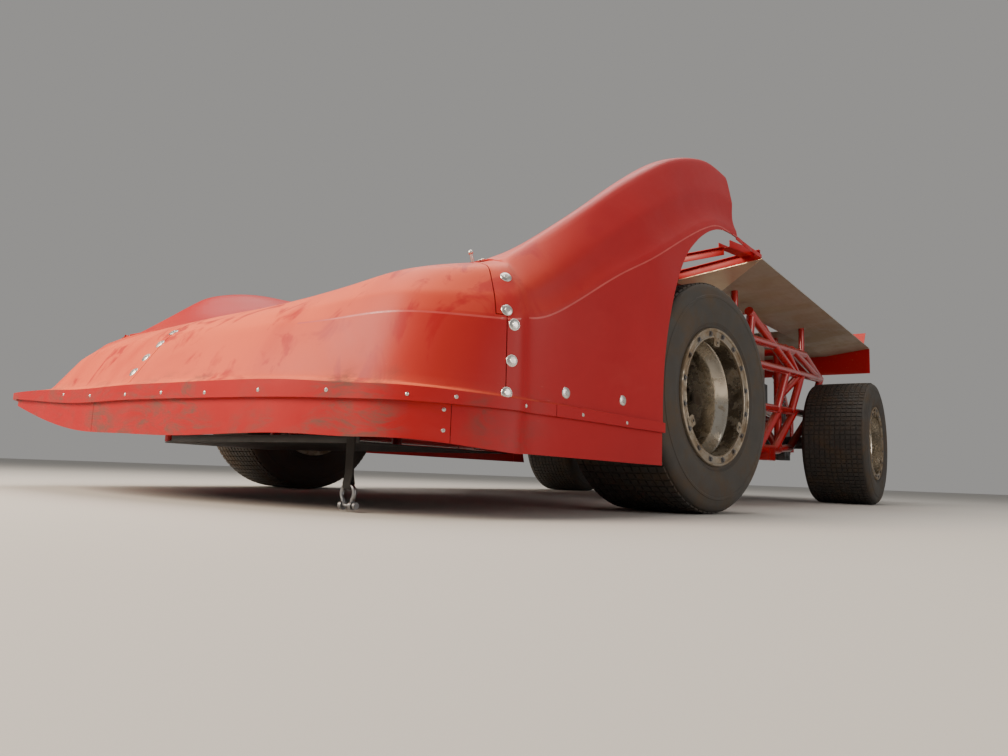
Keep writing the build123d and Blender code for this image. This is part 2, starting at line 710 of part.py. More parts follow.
# Engine and driveline as plain masses
engine_low = kick_z + rail_radius + 5
rail_top = rail_z + rail_radius + seat_gap
engine = box((-1020, -350), (-270, 270), (engine_low, 800))
for side in (1, -1):
    engine = engine.fuse(box((-500, -440), (side * 260, side * 380), (rail_top, engine_low + 20)))
keep("engine_block", engine)
gear_z = axle_z + 20
driveline = box((-1460, -1020), (-120, 120), (gear_z - 120, gear_z + 120))
shaft = tube(at(-1450, 0, gear_z), at(-2500, 0, axle_z), 38)
shaft = shaft.cut(box((-2700, -wheelbase + 134 + seat_gap), (-100, 100), (0, 600)))
keep("driveline", driveline.fuse(shaft))
axle = tube(at(-wheelbase, -740, axle_z), at(-wheelbase, 740, axle_z), axle_tube_radius)
axle_end = wheel_y + tyre_width / 2 - wheel_disc_inset + 39
axle = axle.fuse(
    tube(at(-wheelbase, -axle_end, axle_z), at(-wheelbase, axle_end, axle_z), spindle_radius),
    box((-wheelbase - 180, -wheelbase + 134), (-110, 110), (axle_z - 140, axle_z + 140)))
cage_low = axle_z - 110
cage_high = axle_z + 110
cage_x = (-wheelbase - 60, -wheelbase + 60)
for side in (1, -1):
    axle = axle.fuse(box(cage_x, (side * 560, side * 620), (cage_low, cage_high)))
keep("rear_axle", axle)
link_front = -wheelbase + 60 + seat_gap
axle_block = box((-wheelbase - 200, link_front), (500, 700), (0, cage_high + seat_gap))
link_rows = [[(-wheelbase, 590, 290), (rail_back, 600, rail_back_z)],
             [(-wheelbase, 590, 440), (-2232, 671, 440)]]
links = [weld(bars([row], rod_radius + 1), [rails, cage]).cut(axle_block) for row in link_rows]
keep("rear_links", links, [other_side(link) for link in links])


def coilover(low, high, clear_of):
    """A shock body with its spring as one sleeve, from eye to eye."""
    low = at(*low)
    high = at(*high)
    way = high - low
    whole = tube(low, high, 9).fuse(tube(low + way * 0.18, low + way * 0.86, spring_radius))
    for rows, radius in clear_of:
        for bar in bars(rows, radius + seat_gap):
            whole = whole.cut(bar)
    return max(whole.solids(), key=lambda one: one.volume)


# Front arms: two legs to an eye above and below the knuckle
low_eye = axle_z - ball_low - seat_gap
high_eye = axle_z + ball_high + seat_gap
lower_rows = [[(200, rail_narrow, rail_z), (0, 750, low_eye - 25)],
              [(-200, rail_narrow, rail_z), (0, 750, low_eye - 25)],
              [(-97, 560, 213), (97, 560, 213)]]
upper_rows = [[(150, arm_bar[1], arm_bar[2]), (0, 750, high_eye + 25)],
              [(-150, arm_bar[1], arm_bar[2]), (0, 750, high_eye + 25)]]
lower_eye = tube(at(0, kingpin_y, low_eye - 36), at(0, kingpin_y, low_eye), 24)
upper_eye = tube(at(0, kingpin_y, high_eye), at(0, kingpin_y, high_eye + 36), 24)
lower_arm = weld(bars(lower_rows, 14) + [lower_eye], [rails])
upper_arm = weld(bars(upper_rows, 12) + [upper_eye], [front])
arms = [max(solids_of(arm), key=lambda one: one.volume) for arm in (lower_arm, upper_arm)]
keep("front_arms", arms, [other_side(arm) for arm in arms])
front_shock = coilover((0, 560, 213), (0, 344, 640), [(lower_rows, 14), front])
tilt_room = 1.2
rear_shock = coilover((-2640, 596, cage_high + seat_gap + tilt_room), rear_top, [rear])
keep("shocks", front_shock, other_side(front_shock), rear_shock, other_side(rear_shock))
keep("radiator", box((404, 456), (-280, 280), (rail_top, 577)))
cell_z = clip_z + tube_radius + seat_gap
keep("fuel_cell", box((-3290, -2940), (-300, 300), (cell_z, cell_z + 240)))

# Steering rack, tie rods, column and wheel
rack_x = steer_arm * math.cos(math.radians(steer_now))
rack_shift = steer_arm * math.sin(math.radians(steer_now))
arm_top = axle_z - arm_drop + arm_plate / 2
rod_end_height = 26
rack_z = arm_top + ball_gap + rod_end_height / 2
rod_end = 14
rod_right = at(rack_x, rack_shift - kingpin_y, rack_z)
rod_left = at(rack_x, rack_shift + kingpin_y, rack_z)
rack = tube(rod_right, rod_left, tie_rod_radius)
for side in (1, -1):
    low = at(rack_x, side * kingpin_y + rack_shift, arm_top + ball_gap)
    rack = rack.fuse(tube(low, low + Vector(0, 0, rod_end_height), rod_end))
keep("rack_rod", rack)
housing = tube(at(rack_x, -280, rack_z), at(rack_x, 280, rack_z), rack_radius)
for side in (1, -1):
    foot = box((rack_x - 20, rack_x + 20), (side * 250, side * 352), (rail_z, rack_z - 14))
    housing = housing.fuse(foot)
rack_bore = tie_rod_radius + seat_gap
housing = housing.cut(tube(at(rack_x, -400, rack_z), at(rack_x, 400, rack_z), rack_bore))
keep("rack_housing", weld([housing], [rails]), largest=1)

column_low = at(tub_x[1] + 20, 375, 610)
column_high = at(-1500, 375, 830)
column_dir = (column_high - column_low).normalized()
column = tube(column_low, column_high - column_dir * (wheel_hub_back + seat_gap), 14)
column = column.cut(box((tub_x[1] - sheet, tub_x[1] + 60), tub_y, (floor_z, tub_top)))
keep("steering_column", column)
wheel_plane = Plane(origin=column_high, z_dir=column_dir)
grip = Solid.make_torus(180, 14, wheel_plane)
wheel_hub = tube(column_high - column_dir * wheel_hub_back, column_high + column_dir * 22, 34)
steering = wheel_hub.fuse(grip)
for turn in (90, 210, 330):
    angle = math.radians(turn)
    reach = Vector(172 * math.cos(angle), 172 * math.sin(angle), 0)
    spoke_end = wheel_plane.from_local_coords(reach)
    steering = steering.fuse(tube(column_high, spoke_end, 9))
keep("steering_wheel", steering)

# Seat
seat_y = (175, 575)
seat_line = ((-1510, 490), (-1560, 470), (-1880, 420), (-1940, 480), (-2024, 1040))
seat_inner = inset([(-x, z) for x, z in seat_line], -8)
seat_face = make_face(Polyline(*seat_line, *[(-a, b) for a, b in reversed(seat_inner)], close=True))
seat_plane = Plane(origin=at(0, seat_y[0], 0), x_dir=(1, 0, 0), z_dir=(0, -1, 0))
seat = extrude(seat_plane * seat_face, amount=-(seat_y[1] - seat_y[0]))
seat = seat.fuse(box((-1880, -1600), (230, 520), (floor_z + sheet + seat_gap, 430)))
keep("seat", seat)

# Tow strap and shackle under the left of the nose
strap_x = bumper_x
strap_y = 650
strap_top = bumper_low - brace_radius - seat_gap
shackle_top = 68
strap = box((strap_x - 2, strap_x + 2), (strap_y - 12, strap_y + 12), (shackle_top + seat_gap, strap_top))
keep("tow_strap", strap)
shackle = box((strap_x - 8, strap_x + 8), (strap_y - 30, strap_y + 30), (2, shackle_top))
shackle = shackle.cut(box((strap_x - 20, strap_x + 20), (strap_y - 16, strap_y + 16), (18, 52)))
keep("tow_shackle", shackle)

os.makedirs("parts", exist_ok=True)
for name, shape in parts.items():
    export_step(shape, "parts/" + name + ".step")
    print(name, len(shape.solids()), round(sum(s.volume for s in shape.solids()) / 1e6, 2))
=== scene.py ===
# %% [markdown]
# # A dirt-track stock car on its wheels
# The packed model gives the car's frame, panels and joints at their real size. This file dresses
# it: smooth moulded panels, treaded tyres, deep wheels, fasteners, springs and worn finishes.
# Each cell makes one thing and says what it made.

import json
import math

import bmesh
import bpy
from mathutils import Matrix, Vector
from mathutils.bvhtree import BVHTree


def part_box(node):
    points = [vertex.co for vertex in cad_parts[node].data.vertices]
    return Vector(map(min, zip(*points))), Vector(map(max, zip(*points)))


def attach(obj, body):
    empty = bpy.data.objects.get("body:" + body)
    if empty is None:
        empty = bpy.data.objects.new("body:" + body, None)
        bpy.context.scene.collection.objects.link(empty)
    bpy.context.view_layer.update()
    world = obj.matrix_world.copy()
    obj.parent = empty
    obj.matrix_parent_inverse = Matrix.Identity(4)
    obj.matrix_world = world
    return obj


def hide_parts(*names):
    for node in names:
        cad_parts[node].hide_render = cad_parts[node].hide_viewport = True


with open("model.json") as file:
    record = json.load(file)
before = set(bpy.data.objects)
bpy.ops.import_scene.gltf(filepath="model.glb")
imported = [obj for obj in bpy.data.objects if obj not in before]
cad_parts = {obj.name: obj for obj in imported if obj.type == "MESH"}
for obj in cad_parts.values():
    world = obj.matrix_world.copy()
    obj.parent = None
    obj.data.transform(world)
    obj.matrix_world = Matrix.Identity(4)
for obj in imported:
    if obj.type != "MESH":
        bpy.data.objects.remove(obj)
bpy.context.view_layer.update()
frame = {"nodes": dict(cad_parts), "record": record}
nodes = frame["nodes"]

# %% [markdown]
# ## Places on the car
# A chassis drawing counts its stations from the front axle, so the tables below do the same, in
# millimetres. One helper turns such a station into a point of the scene, in metres.

# %% A point from its station
front_axle = 1.140
wheelbase = 2.616
axle_height = 0.362
kingpin_half = 0.762
wheel_half = 0.965
steer_now = math.radians(-8)


def place(x, y, z):
    """Millimetres ahead of the front axle, to the left and up, as a point in metres."""
    return Vector((front_axle + x / 1000, y / 1000, z / 1000))


print("front axle at x", front_axle, "rear axle at x", round(front_axle - wheelbase, 3))

# %% [markdown]
# ## The camera
# The photograph was taken from close to the left of the nose with a wide lens held low, and the
# camera was found by fitting the wheels and panel edges. It looks slightly up, so the underside
# of the nose and the wheel arch open towards it.

# %% Camera
def aim(name, spot, yaw, pitch, roll, lens):
    """A camera from its place and three turns, in degrees."""
    yaw, pitch, roll = (math.radians(v) for v in (yaw, pitch, roll))
    ahead = Vector((math.cos(yaw) * math.cos(pitch), math.sin(yaw) * math.cos(pitch),
                    math.sin(pitch)))
    right = Vector((math.sin(yaw), -math.cos(yaw), 0))
    up = right.cross(ahead)
    across = math.cos(roll) * right + math.sin(roll) * up
    upward = -math.sin(roll) * right + math.cos(roll) * up
    data = bpy.data.cameras.new(name)
    data.lens, data.sensor_width, data.clip_end = lens, 36, 100
    camera = bpy.data.objects.new(name, data)
    turn = Matrix((across, upward, -ahead)).transposed().to_4x4()
    camera.matrix_world = Matrix.Translation(spot) @ turn
    bpy.context.scene.collection.objects.link(camera)
    bpy.context.scene.camera = camera
    return camera


camera = aim("camera", Vector((3.4908, 1.9631, 0.0982)), 215.702, 7.232, 2.090, 27.14)
print("camera", tuple(round(v, 3) for v in camera.matrix_world.translation))

# %% [markdown]
# ## Shader maths
# A finish is easier to read as a sum than as a web of nodes. One small class wraps the output of
# a node, so that masks can be added and multiplied, and one method adds any other node.

# %% The output of a node
class Value:
    """An output of a node in a finish; arithmetic on it adds Math nodes."""

    def __init__(self, finish, socket):
        self.finish = finish
        self.socket = socket

    def maths(self, operation, *values):
        """A Math node on some values."""
        sockets = dict(enumerate(values))
        return self.finish.node("Math", {"operation": operation}, sockets)

    def __add__(self, other):
        return self.maths("ADD", self, other)

    def __mul__(self, other):
        return self.maths("MULTIPLY", self, other)

    def __sub__(self, other):
        return self.maths("SUBTRACT", self, other)

    def __rsub__(self, other):
        return self.maths("SUBTRACT", other, self)

    __radd__ = __add__
    __rmul__ = __mul__


print("a value is:", Value.__doc__)


# %% A finish
def socket_name(word):
    """The shader's own name for a socket, from a word such as coat_weight."""
    return " ".join("IOR" if w == "ior" else w.title() for w in word.split("_"))


class Finish:
    """A material under construction, read from places on the car in metres."""

    def __init__(self, name, **fixed):
        self.material = bpy.data.materials.new(name)
        self.material.use_nodes = True
        self.tree = self.material.node_tree
        self.shader = self.tree.nodes["Principled BSDF"]
        for socket, value in fixed.items():
            self.shader.inputs[socket_name(socket)].default_value = value
        self.spot = self.node("TexCoord", out="Object")

    def node(self, kind, settings=None, sockets=None, out=0):
        """Any node from its type, its settings and what its sockets hold or take."""
        made = self.tree.nodes.new("ShaderNode" + kind)
        for key, value in (settings or {}).items():
            setattr(made, key, value)
        for key, value in (sockets or {}).items():
            self.plug(made.inputs[key], value)
        return Value(self, made.outputs[out])

    def plug(self, socket, value):
        """Link a value to a socket, or set the socket to a number or a colour."""
        if isinstance(value, Value):
            self.tree.links.new(value.socket, socket)
        elif socket.type == "RGBA" and len(value) == 3:
            socket.default_value = (*value, 1)
        else:
            socket.default_value = value

    def along(self, axis):
        """One coordinate of the place, in metres."""
        return self.node("SeparateXYZ", sockets={0: self.spot}, out=axis)

    def facing(self, axis):
        """One part of the surface's direction."""
        return self.node("SeparateXYZ", sockets={0: self.node("NewGeometry", out="Normal")},
                         out=axis)

    def noise(self, scale, detail=4, rough=0.55, stretch=(1, 1, 1), warp=0, shift=(0, 0, 0)):
        """Cloudy noise, finer along an axis that is stretched more."""
        spot = self.node("Mapping", sockets={"Vector": self.spot, "Scale": stretch,
                                             "Location": shift})
        return self.node("TexNoise", sockets={"Vector": spot, "Scale": scale, "Detail": detail,
                                              "Roughness": rough, "Distortion": warp})

    def ramp(self, value, low, high, start=0.0, end=1.0):
        """A soft step from start at low to end at high."""
        settings = {"interpolation_type": "SMOOTHSTEP"}
        sockets = {"Value": value, "From Min": low, "From Max": high, "To Min": start,
                   "To Max": end}
        return self.node("MapRange", settings, sockets)

    def blend(self, mask, first, second):
        """Two colours mixed by a mask."""
        return self.node("Mix", {"data_type": "RGBA"}, {0: mask, 6: first, 7: second}, out=2)

    def dents(self, height, distance, strength=1.0, over=None):
        """A bump from a height, on top of another one."""
        sockets = {"Height": height, "Distance": distance, "Strength": strength}
        if over is not None:
            sockets["Normal"] = over
        return self.node("Bump", {}, sockets)

    def done(self, **linked):
        """The material, with its shader's sockets linked."""
        for socket, value in linked.items():
            self.plug(self.shader.inputs[socket_name(socket)], value)
        return self.material


print("the shader knows coat_weight as", socket_name("coat_weight"))

# %% [markdown]
# ## The red moulded shell
# The nose and fenders are thick moulded plastic, coloured right through. Sun and cleaning have
# faded it: faces that look up have a chalky orange bloom, rubbed away in streaks, which is also
# painted warm light, growing towards the nose where the lamps ahead light its top. The low edges
# carry grey and brown scuffs from the wall and from gravel. There is no clear coat, only a soft
# sheen, so the roughness is high and the bump is a slow waviness. Each of these is one mask over
# the red. The crease of the panels gets a finish of its own, a pale band that is a painted
# highlight along the edge and rubbed wear, because a mask can't tell where an edge runs.

# %% Faded shell finish
def faded_shell():
    f = Finish("faded_shell", specular_ior_level=0.30)
    red = f.blend(f.noise(3.2, 5), (0.34, 0.004, 0.008), (0.45, 0.009, 0.013))
    cloud = f.noise(2.1, 6, 0.62, stretch=(0.7, 1.3, 1.0), warp=0.6)
    rubbed = f.noise(6.0, 4, 0.55, stretch=(0.8, 1.3, 0.8), warp=1.6, shift=(3, 1, 0))
    # chalky bloom and painted warm light on what looks up, growing towards the nose, rubbed in
    # streaks
    up = f.ramp(f.facing(2), -0.05, 0.90)
    ahead = f.ramp(f.along(0), 1.70, 2.36, 0.03, 1.0)
    bloom_and_light = up * ahead * f.ramp(cloud, 0.36, 0.62, 0.62, 1.0)
    bloom_and_light = bloom_and_light * f.ramp(rubbed, 0.34, 0.46, 0.25, 1.0)
    colour = f.blend(bloom_and_light * 0.88, red, (0.86, 0.150, 0.055))
    haze = f.ramp(f.noise(5, 5, 0.6, stretch=(0.4, 1, 1.6), warp=0.8), 0.50, 0.74) * 0.10
    colour = f.blend(haze, colour, (0.55, 0.07, 0.06))
    # scuffs along the low front edge
    low = f.ramp(f.along(2), 0.34, 0.28)
    scrape = f.noise(13, 7, 0.75, stretch=(0.45, 0.45, 1.5), warp=1.1)
    front = f.ramp(f.along(0), 1.95, 2.25)
    smear = f.noise(4, 4, 0.6, stretch=(1.0, 1.0, 0.5), shift=(2, 0, 0))
    scuff = low * front * f.ramp(scrape, 0.42, 0.64) * f.ramp(smear, 0.42, 0.58) * 0.85
    colour = f.blend(scuff, colour, (0.115, 0.062, 0.050))
    # fine pale scratches along the car
    fine = f.noise(60, 3, 0.7, stretch=(0.25, 0.25, 2.5))
    lines = f.ramp(fine, 0.70, 0.78) * f.ramp(f.noise(3, 2), 0.5, 0.62)
    colour = f.blend(lines * 0.35, colour, (0.70, 0.24, 0.19))
    rough = f.ramp(cloud, 0.3, 0.7, 0.36, 0.50) + bloom_and_light * 0.14 + scuff * 0.25
    wave = f.dents(f.noise(5.5, 2, 0.4), 0.006, 0.5)
    skin = f.dents(f.noise(420, 2, 0.5), 0.0002, 0.6, over=wave)
    return f.done(base_color=colour, roughness=rough, normal=skin)


def rubbed_and_lit_crease():
    """The paler red of a crease: a painted highlight along its edge, and wear where cleaning has
    rubbed it.
    """
    f = Finish("rubbed_and_lit_crease", specular_ior_level=0.5)
    colour = f.blend(f.noise(14, 4), (0.40, 0.018, 0.022), (0.66, 0.100, 0.085))
    rough = f.ramp(f.noise(60, 3), 0.3, 0.7, 0.30, 0.44)
    return f.done(base_color=colour, roughness=rough, normal=f.dents(f.noise(240, 2), 0.0002, 0.5))


shell_red = faded_shell()
crease_highlight_and_wear = rubbed_and_lit_crease()
print("shell finishes:", shell_red.name, crease_highlight_and_wear.name)

# %% [markdown]
# ## Painted tube and painted sheet
# The frame tubes have a thick gloss coat, so they take a clear coat and show the lights as sharp
# lines. Dust settles on what looks up. The flat panels are coated aluminium: the same red with
# less gloss, fine scratches along the car and shallow dents.

# %% Tube and sheet paint
def dust_on(f, colour, amount=0.5, shade=(0.30, 0.21, 0.13)):
    """Dust where the surface looks up, in patches."""
    patch = f.ramp(f.noise(2.6, 6, 0.68), 0.25, 0.85, 0.3, 1.0)
    mask = f.ramp(f.facing(2), 0.15, 0.95) * patch * amount
    return f.blend(mask, colour, shade), mask


def tube_paint():
    f = Finish("tube_paint", coat_roughness=0.08, specular_ior_level=0.5)
    red = f.blend(f.noise(5, 3), (0.40, 0.005, 0.008), (0.52, 0.010, 0.012))
    chips = f.ramp(f.noise(95, 3, 0.6), 0.735, 0.75)
    colour, dust = dust_on(f, red, 0.55)
    grime = f.ramp(f.noise(11, 5, 0.7, shift=(5, 2, 1)), 0.55, 0.75) * 0.35
    colour = f.blend(grime, colour, (0.10, 0.045, 0.035))
    colour = f.blend(chips, colour, (0.20, 0.17, 0.15))
    rough = 0.24 + dust * 0.45 + grime * 0.3 + chips * 0.3
    peel = f.dents(f.noise(260, 2), 0.0002, 0.35)
    return f.done(base_color=colour, roughness=rough, coat_weight=0.75 - dust - grime,
                  normal=peel)


def sheet_paint():
    f = Finish("sheet_paint", specular_ior_level=0.32)
    red = f.blend(f.noise(2.4, 4), (0.40, 0.006, 0.009), (0.52, 0.012, 0.013))
    colour, dust = dust_on(f, red, 0.24)
    scratch = f.noise(45, 3, 0.7, stretch=(0.12, 1.6, 1.6))
    marks = f.ramp(scratch, 0.66, 0.72) * f.ramp(f.noise(2.6, 3), 0.48, 0.6)
    colour = f.blend(marks * 0.45, colour, (0.78, 0.34, 0.28))
    rough = f.ramp(f.noise(9, 4), 0.3, 0.7, 0.33, 0.46) + dust * 0.4 + marks * 0.2
    wave = f.dents(f.noise(3.4, 2, 0.4), 0.010, 0.45)
    return f.done(base_color=colour, roughness=rough, normal=wave)


tube_red = tube_paint()
sheet_red = sheet_paint()
print("paints:", tube_red.name, sheet_red.name)

# %% [markdown]
# ## Bare metals
# The deck and cockpit are thin bare aluminium that has gone dull and dusty, brownish on the
# underside where the tyres throw clay. The wheels are spun aluminium: a bright barrel with
# turning lines, and a dull outer ring. Dark steel is oily, the castings are rough, and small
# screws are zinc plated.

# %% Sheet, wheel and steel finishes
fold_front, fold_inner = place(-700, 1045, 0), place(-1200, 660, 0)


def bare_sheet():
    """Bare aluminium with clay; the facet ahead of the fold across the left deck's front corner is
    painted as lit, pale cream with less clay.
    """
    f = Finish("bare_sheet")
    clean, clay = (0.60, 0.57, 0.51), (0.34, 0.235, 0.14)
    metal = f.blend(f.noise(4, 4), clean, [v * 0.86 for v in clean])
    below = f.ramp(f.facing(2), -0.2, -0.7)
    patch = f.ramp(f.noise(3.5, 6, 0.68, warp=0.5), 0.36, 0.66)
    slope = (fold_front.x - fold_inner.x) / (fold_front.y - fold_inner.y)
    start = fold_front.x - fold_front.y * slope
    fold = f.ramp(f.along(0) - f.along(1) * slope, start - 0.002, start + 0.002)
    left = f.ramp(f.along(1), fold_inner.y - 0.005, fold_inner.y + 0.002)
    # painted light: the facet ahead of the fold gets a pale cream tone and less clay
    lit_facet = fold * left * f.ramp(f.along(0), -0.10, -0.09)
    mask = (below * 0.52 + patch * 0.40) * (1 - lit_facet * 0.75)
    colour = f.blend(mask, f.blend(lit_facet, metal, (0.86, 0.73, 0.50)), clay)
    grain = f.noise(70, 2, 0.6, stretch=(0.06, 1, 1))
    rough = f.ramp(grain, 0.3, 0.7, 0.30, 0.44) + mask * 0.4
    wave = f.dents(f.noise(4.2, 2, 0.4), 0.012, 0.5)
    fine = f.dents(grain, 0.0004, 0.3, over=wave)
    return f.done(base_color=colour, roughness=rough, metallic=0.92 - mask * 0.8, normal=fine)


def worn_metal(name, clean, dirt, amount, smooth=0.3, grit=140, depth=0.0004, metallic=1.0):
    """A metal with grime in patches."""
    f = Finish(name)
    patch = f.ramp(f.noise(16, 6, 0.7, warp=0.4), 0.62 - amount * 0.4, 0.80 - amount * 0.3)
    colour = f.blend(patch, f.blend(f.noise(40, 3), clean, [v * 0.8 for v in clean]), dirt)
    rough = f.ramp(f.noise(30, 4), 0.3, 0.7, smooth, smooth + 0.14) + patch * 0.35
    bump = f.dents(f.noise(grit, 4, 0.6), depth, 0.6)
    return f.done(base_color=colour, roughness=rough, metallic=metallic - patch * 0.7,
                  normal=bump)


deck_metal = bare_sheet()
ring_metal = worn_metal("wheel_ring", (0.42, 0.37, 0.30), (0.20, 0.145, 0.09), 0.60, 0.36)
barrel_metal = worn_metal("wheel_barrel", (0.62, 0.57, 0.49), (0.24, 0.18, 0.11), 0.30, 0.16,
                          grit=60, depth=0.0001)
inner_metal = worn_metal("wheel_centre", (0.10, 0.085, 0.07), (0.075, 0.055, 0.038), 0.8, 0.5)
dark_steel = worn_metal("dark_steel", (0.22, 0.22, 0.23), (0.07, 0.05, 0.035), 0.5, 0.34)
cast_iron = worn_metal("cast_iron", (0.15, 0.15, 0.155), (0.06, 0.045, 0.035), 0.5, 0.5,
                       grit=320, depth=0.001)
plain_alloy = worn_metal("plain_alloy", (0.55, 0.55, 0.55), (0.24, 0.20, 0.15), 0.3, 0.3)
zinc = worn_metal("zinc_plate", (0.70, 0.69, 0.66), (0.34, 0.29, 0.23), 0.2, 0.24)
galvanised = worn_metal("galvanised", (0.30, 0.31, 0.33), (0.14, 0.12, 0.10), 0.35, 0.30,
                        grit=80, depth=0.0006)
spring_steel = worn_metal("spring_paint", (0.30, 0.31, 0.34), (0.14, 0.10, 0.07), 0.35, 0.3,
                          metallic=0.75)
print("metals:", deck_metal.name, ring_metal.name, dark_steel.name)

# %% [markdown]
# ## Rubber, plastic and webbing
# Old dirt-track rubber is brown-black, with pale clay in patches over the tread and the walls.
# The black plastics are plain with a fine grain. The strap is woven, so it has a tight twill bump.

# %% Rubber, plastic and webbing finishes
def dusty_rubber():
    f = Finish("dusty_rubber", specular_ior_level=0.35)
    base = f.blend(f.noise(22, 4), (0.038, 0.035, 0.033), (0.062, 0.057, 0.051))
    clay = f.ramp(f.noise(9, 6, 0.7, warp=0.3), 0.42, 0.72)
    colour = f.blend(clay * 0.50, base, (0.110, 0.068, 0.034))
    rough = 0.62 + clay * 0.22
    grain = f.dents(f.noise(220, 3, 0.6), 0.0005, 0.5)
    return f.done(base_color=colour, roughness=rough, normal=grain)


def plain_plastic(name, shade, smooth):
    f = Finish(name)
    colour = f.blend(f.noise(12, 4), shade, [v * 1.5 for v in shade])
    colour, dust = dust_on(f, colour, 0.35)
    rough = f.ramp(f.noise(30, 3), 0.3, 0.7, smooth, smooth + 0.12) + dust * 0.3
    return f.done(base_color=colour, roughness=rough,
                  normal=f.dents(f.noise(300, 2), 0.0002, 0.5))


def woven_strap():
    f = Finish("woven_strap", roughness=0.85)
    weave = f.node("TexWave", {"bands_direction": "Z"}, {"Vector": f.spot, "Scale": 190.0,
                                                        "Distortion": 0.6})
    cross = f.node("TexWave", {"bands_direction": "Y"}, {"Vector": f.spot, "Scale": 260.0})
    colour = f.blend(weave, (0.012, 0.012, 0.012), (0.040, 0.038, 0.036))
    return f.done(base_color=colour, normal=f.dents(weave * cross, 0.0006, 0.8))


rubber = dusty_rubber()
black_plastic = plain_plastic("black_plastic", (0.020, 0.020, 0.021), 0.45)
grip_foam = plain_plastic("grip_foam", (0.012, 0.012, 0.012), 0.75)
webbing = woven_strap()
# near-black for holes: painted shade
hole_shade_black = plain_plastic("hole_shade_black", (0.006, 0.006, 0.006), 0.8)
print("soft finishes:", rubber.name, webbing.name)

# %% [markdown]
# ## Making a piece
# Every new piece is a bmesh first. One helper turns it into an object with its finish, ties it to
# the body that it moves with, and hides the plain nodes that it stands for.

# %% From a bmesh to a piece of the car
def poured(bm, name):
    """A mesh from a bmesh, which is then let go."""
    mesh = bpy.data.meshes.new(name)
    bm.to_mesh(mesh)
    bm.free()
    return mesh


def add_piece(name, source, finish, body, stands_for=(), sharp=38):
    """A piece of the car from a bmesh or a mesh; edges sharper than an angle stay hard."""
    mesh = poured(source, name) if isinstance(source, bmesh.types.BMesh) else source
    mesh.materials.clear()
    mesh.materials.append(finish)
    mesh.polygons.foreach_set("use_smooth", [True] * len(mesh.polygons))
    mesh.set_sharp_from_angle(angle=math.radians(sharp))
    piece = bpy.data.objects.new(name, mesh)
    bpy.context.scene.collection.objects.link(piece)
    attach(piece, body)
    if stands_for:
        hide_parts(*stands_for)
    return piece


def settled(piece):
    """The mesh of a piece with its modifiers worked in."""
    bpy.context.view_layer.update()
    seen = piece.evaluated_get(bpy.context.evaluated_depsgraph_get())
    return bpy.data.meshes.new_from_object(seen)


def scratch(mesh):
    """A passing object for modifiers to work on."""
    piece = bpy.data.objects.new("scratch", mesh)
    bpy.context.scene.collection.objects.link(piece)
    return piece


def with_modifier(mesh, kind, **settings):
    """A mesh with one modifier worked in."""
    piece = scratch(mesh)
    modifier = piece.modifiers.new(kind.lower(), kind)
    for key, value in settings.items():
        setattr(modifier, key, value)
    made = settled(piece)
    bpy.data.objects.remove(piece)
    return made


# %% [markdown]
# ## A skin through rows of points
# A moulded panel is drawn as cross-sections and then faired. Each row of a table becomes a line
# of edges, neighbouring lines are bridged into quads, and a subdivision surface rounds the whole.
# The rounding pulls away from the points, so the cage is pushed out until the skin meets them
# again.

# %% Skins from tables
def bridged(rows):
    """Quads through rows of points that all have the same count."""
    bm = bmesh.new()
    bm.edges.layers.float.new("crease_edge")
    lines = []
    for row in rows:
        verts = [bm.verts.new(p) for p in row]
        lines.append([bm.edges.new(pair) for pair in zip(verts, verts[1:])])
    for first, second in zip(lines, lines[1:]):
        bmesh.ops.bridge_loops(bm, edges=first + second)
    bm.verts.index_update()
    return bm


def faired(bm, creases=(), levels=3, rounds=8):
    """The rounded skin of a cage, passing through the cage's own points."""
    layer = bm.edges.layers.float["crease_edge"]
    for edge, sharpness in creases:
        edge[layer] = sharpness
    mesh = poured(bm, "cage")
    piece = scratch(mesh)
    modifier = piece.modifiers.new("fair", "SUBSURF")
    modifier.levels = modifier.render_levels = levels
    modifier.boundary_smooth = "PRESERVE_CORNERS"
    goal = [v.co.copy() for v in mesh.vertices]
    for _ in range(rounds):
        bpy.context.view_layer.update()
        seen = piece.evaluated_get(bpy.context.evaluated_depsgraph_get()).data.vertices
        now = [seen[i].co.copy() for i in range(len(goal))]
        for vertex, target, reached in zip(mesh.vertices, goal, now):
            vertex.co += target - reached
    made = settled(piece)
    bpy.data.objects.remove(piece)
    return made


print("skins are faired with a subdivision surface")


# %% Cuts through a skin and lines of its cage
def split_at(bm, point, normal, **clearing):
    """Divide everything in a bmesh along a plane."""
    everything = bm.verts[:] + bm.edges[:] + bm.faces[:]
    bmesh.ops.bisect_plane(bm, geom=everything, plane_co=point, plane_no=normal, **clearing)


def sliced(mesh, point, normal):
    """The part of a mesh behind a plane."""
    bm = bmesh.new()
    bm.from_mesh(mesh)
    split_at(bm, point, normal, clear_outer=True)
    return poured(bm, "slice")


def along_points(bm, columns, column, low, high):
    """Edges that run from row to row at one column of a bridged cage, between two rows."""
    found = []
    for edge in bm.edges:
        a, b = sorted(v.index for v in edge.verts)
        if b - a == columns and a % columns == column and low <= a // columns < high:
            found.append(edge)
    return found


print("skins are cut along planes")

# %% [markdown]
# ## Nose and fenders
# The nose is a shallow wedge that wraps from one front wheel to the other. The left fender rises
# from it to a tall flare that stands above the tyre, and the right fender stays low. Above a
# crease that runs along both, a shallow channel sinks in, and a ridge stands over it on the
# fender. All four panels are faired as one skin, so their surfaces run on across the seams, and
# are then cut apart. Modelled one by one, they would meet at an angle.

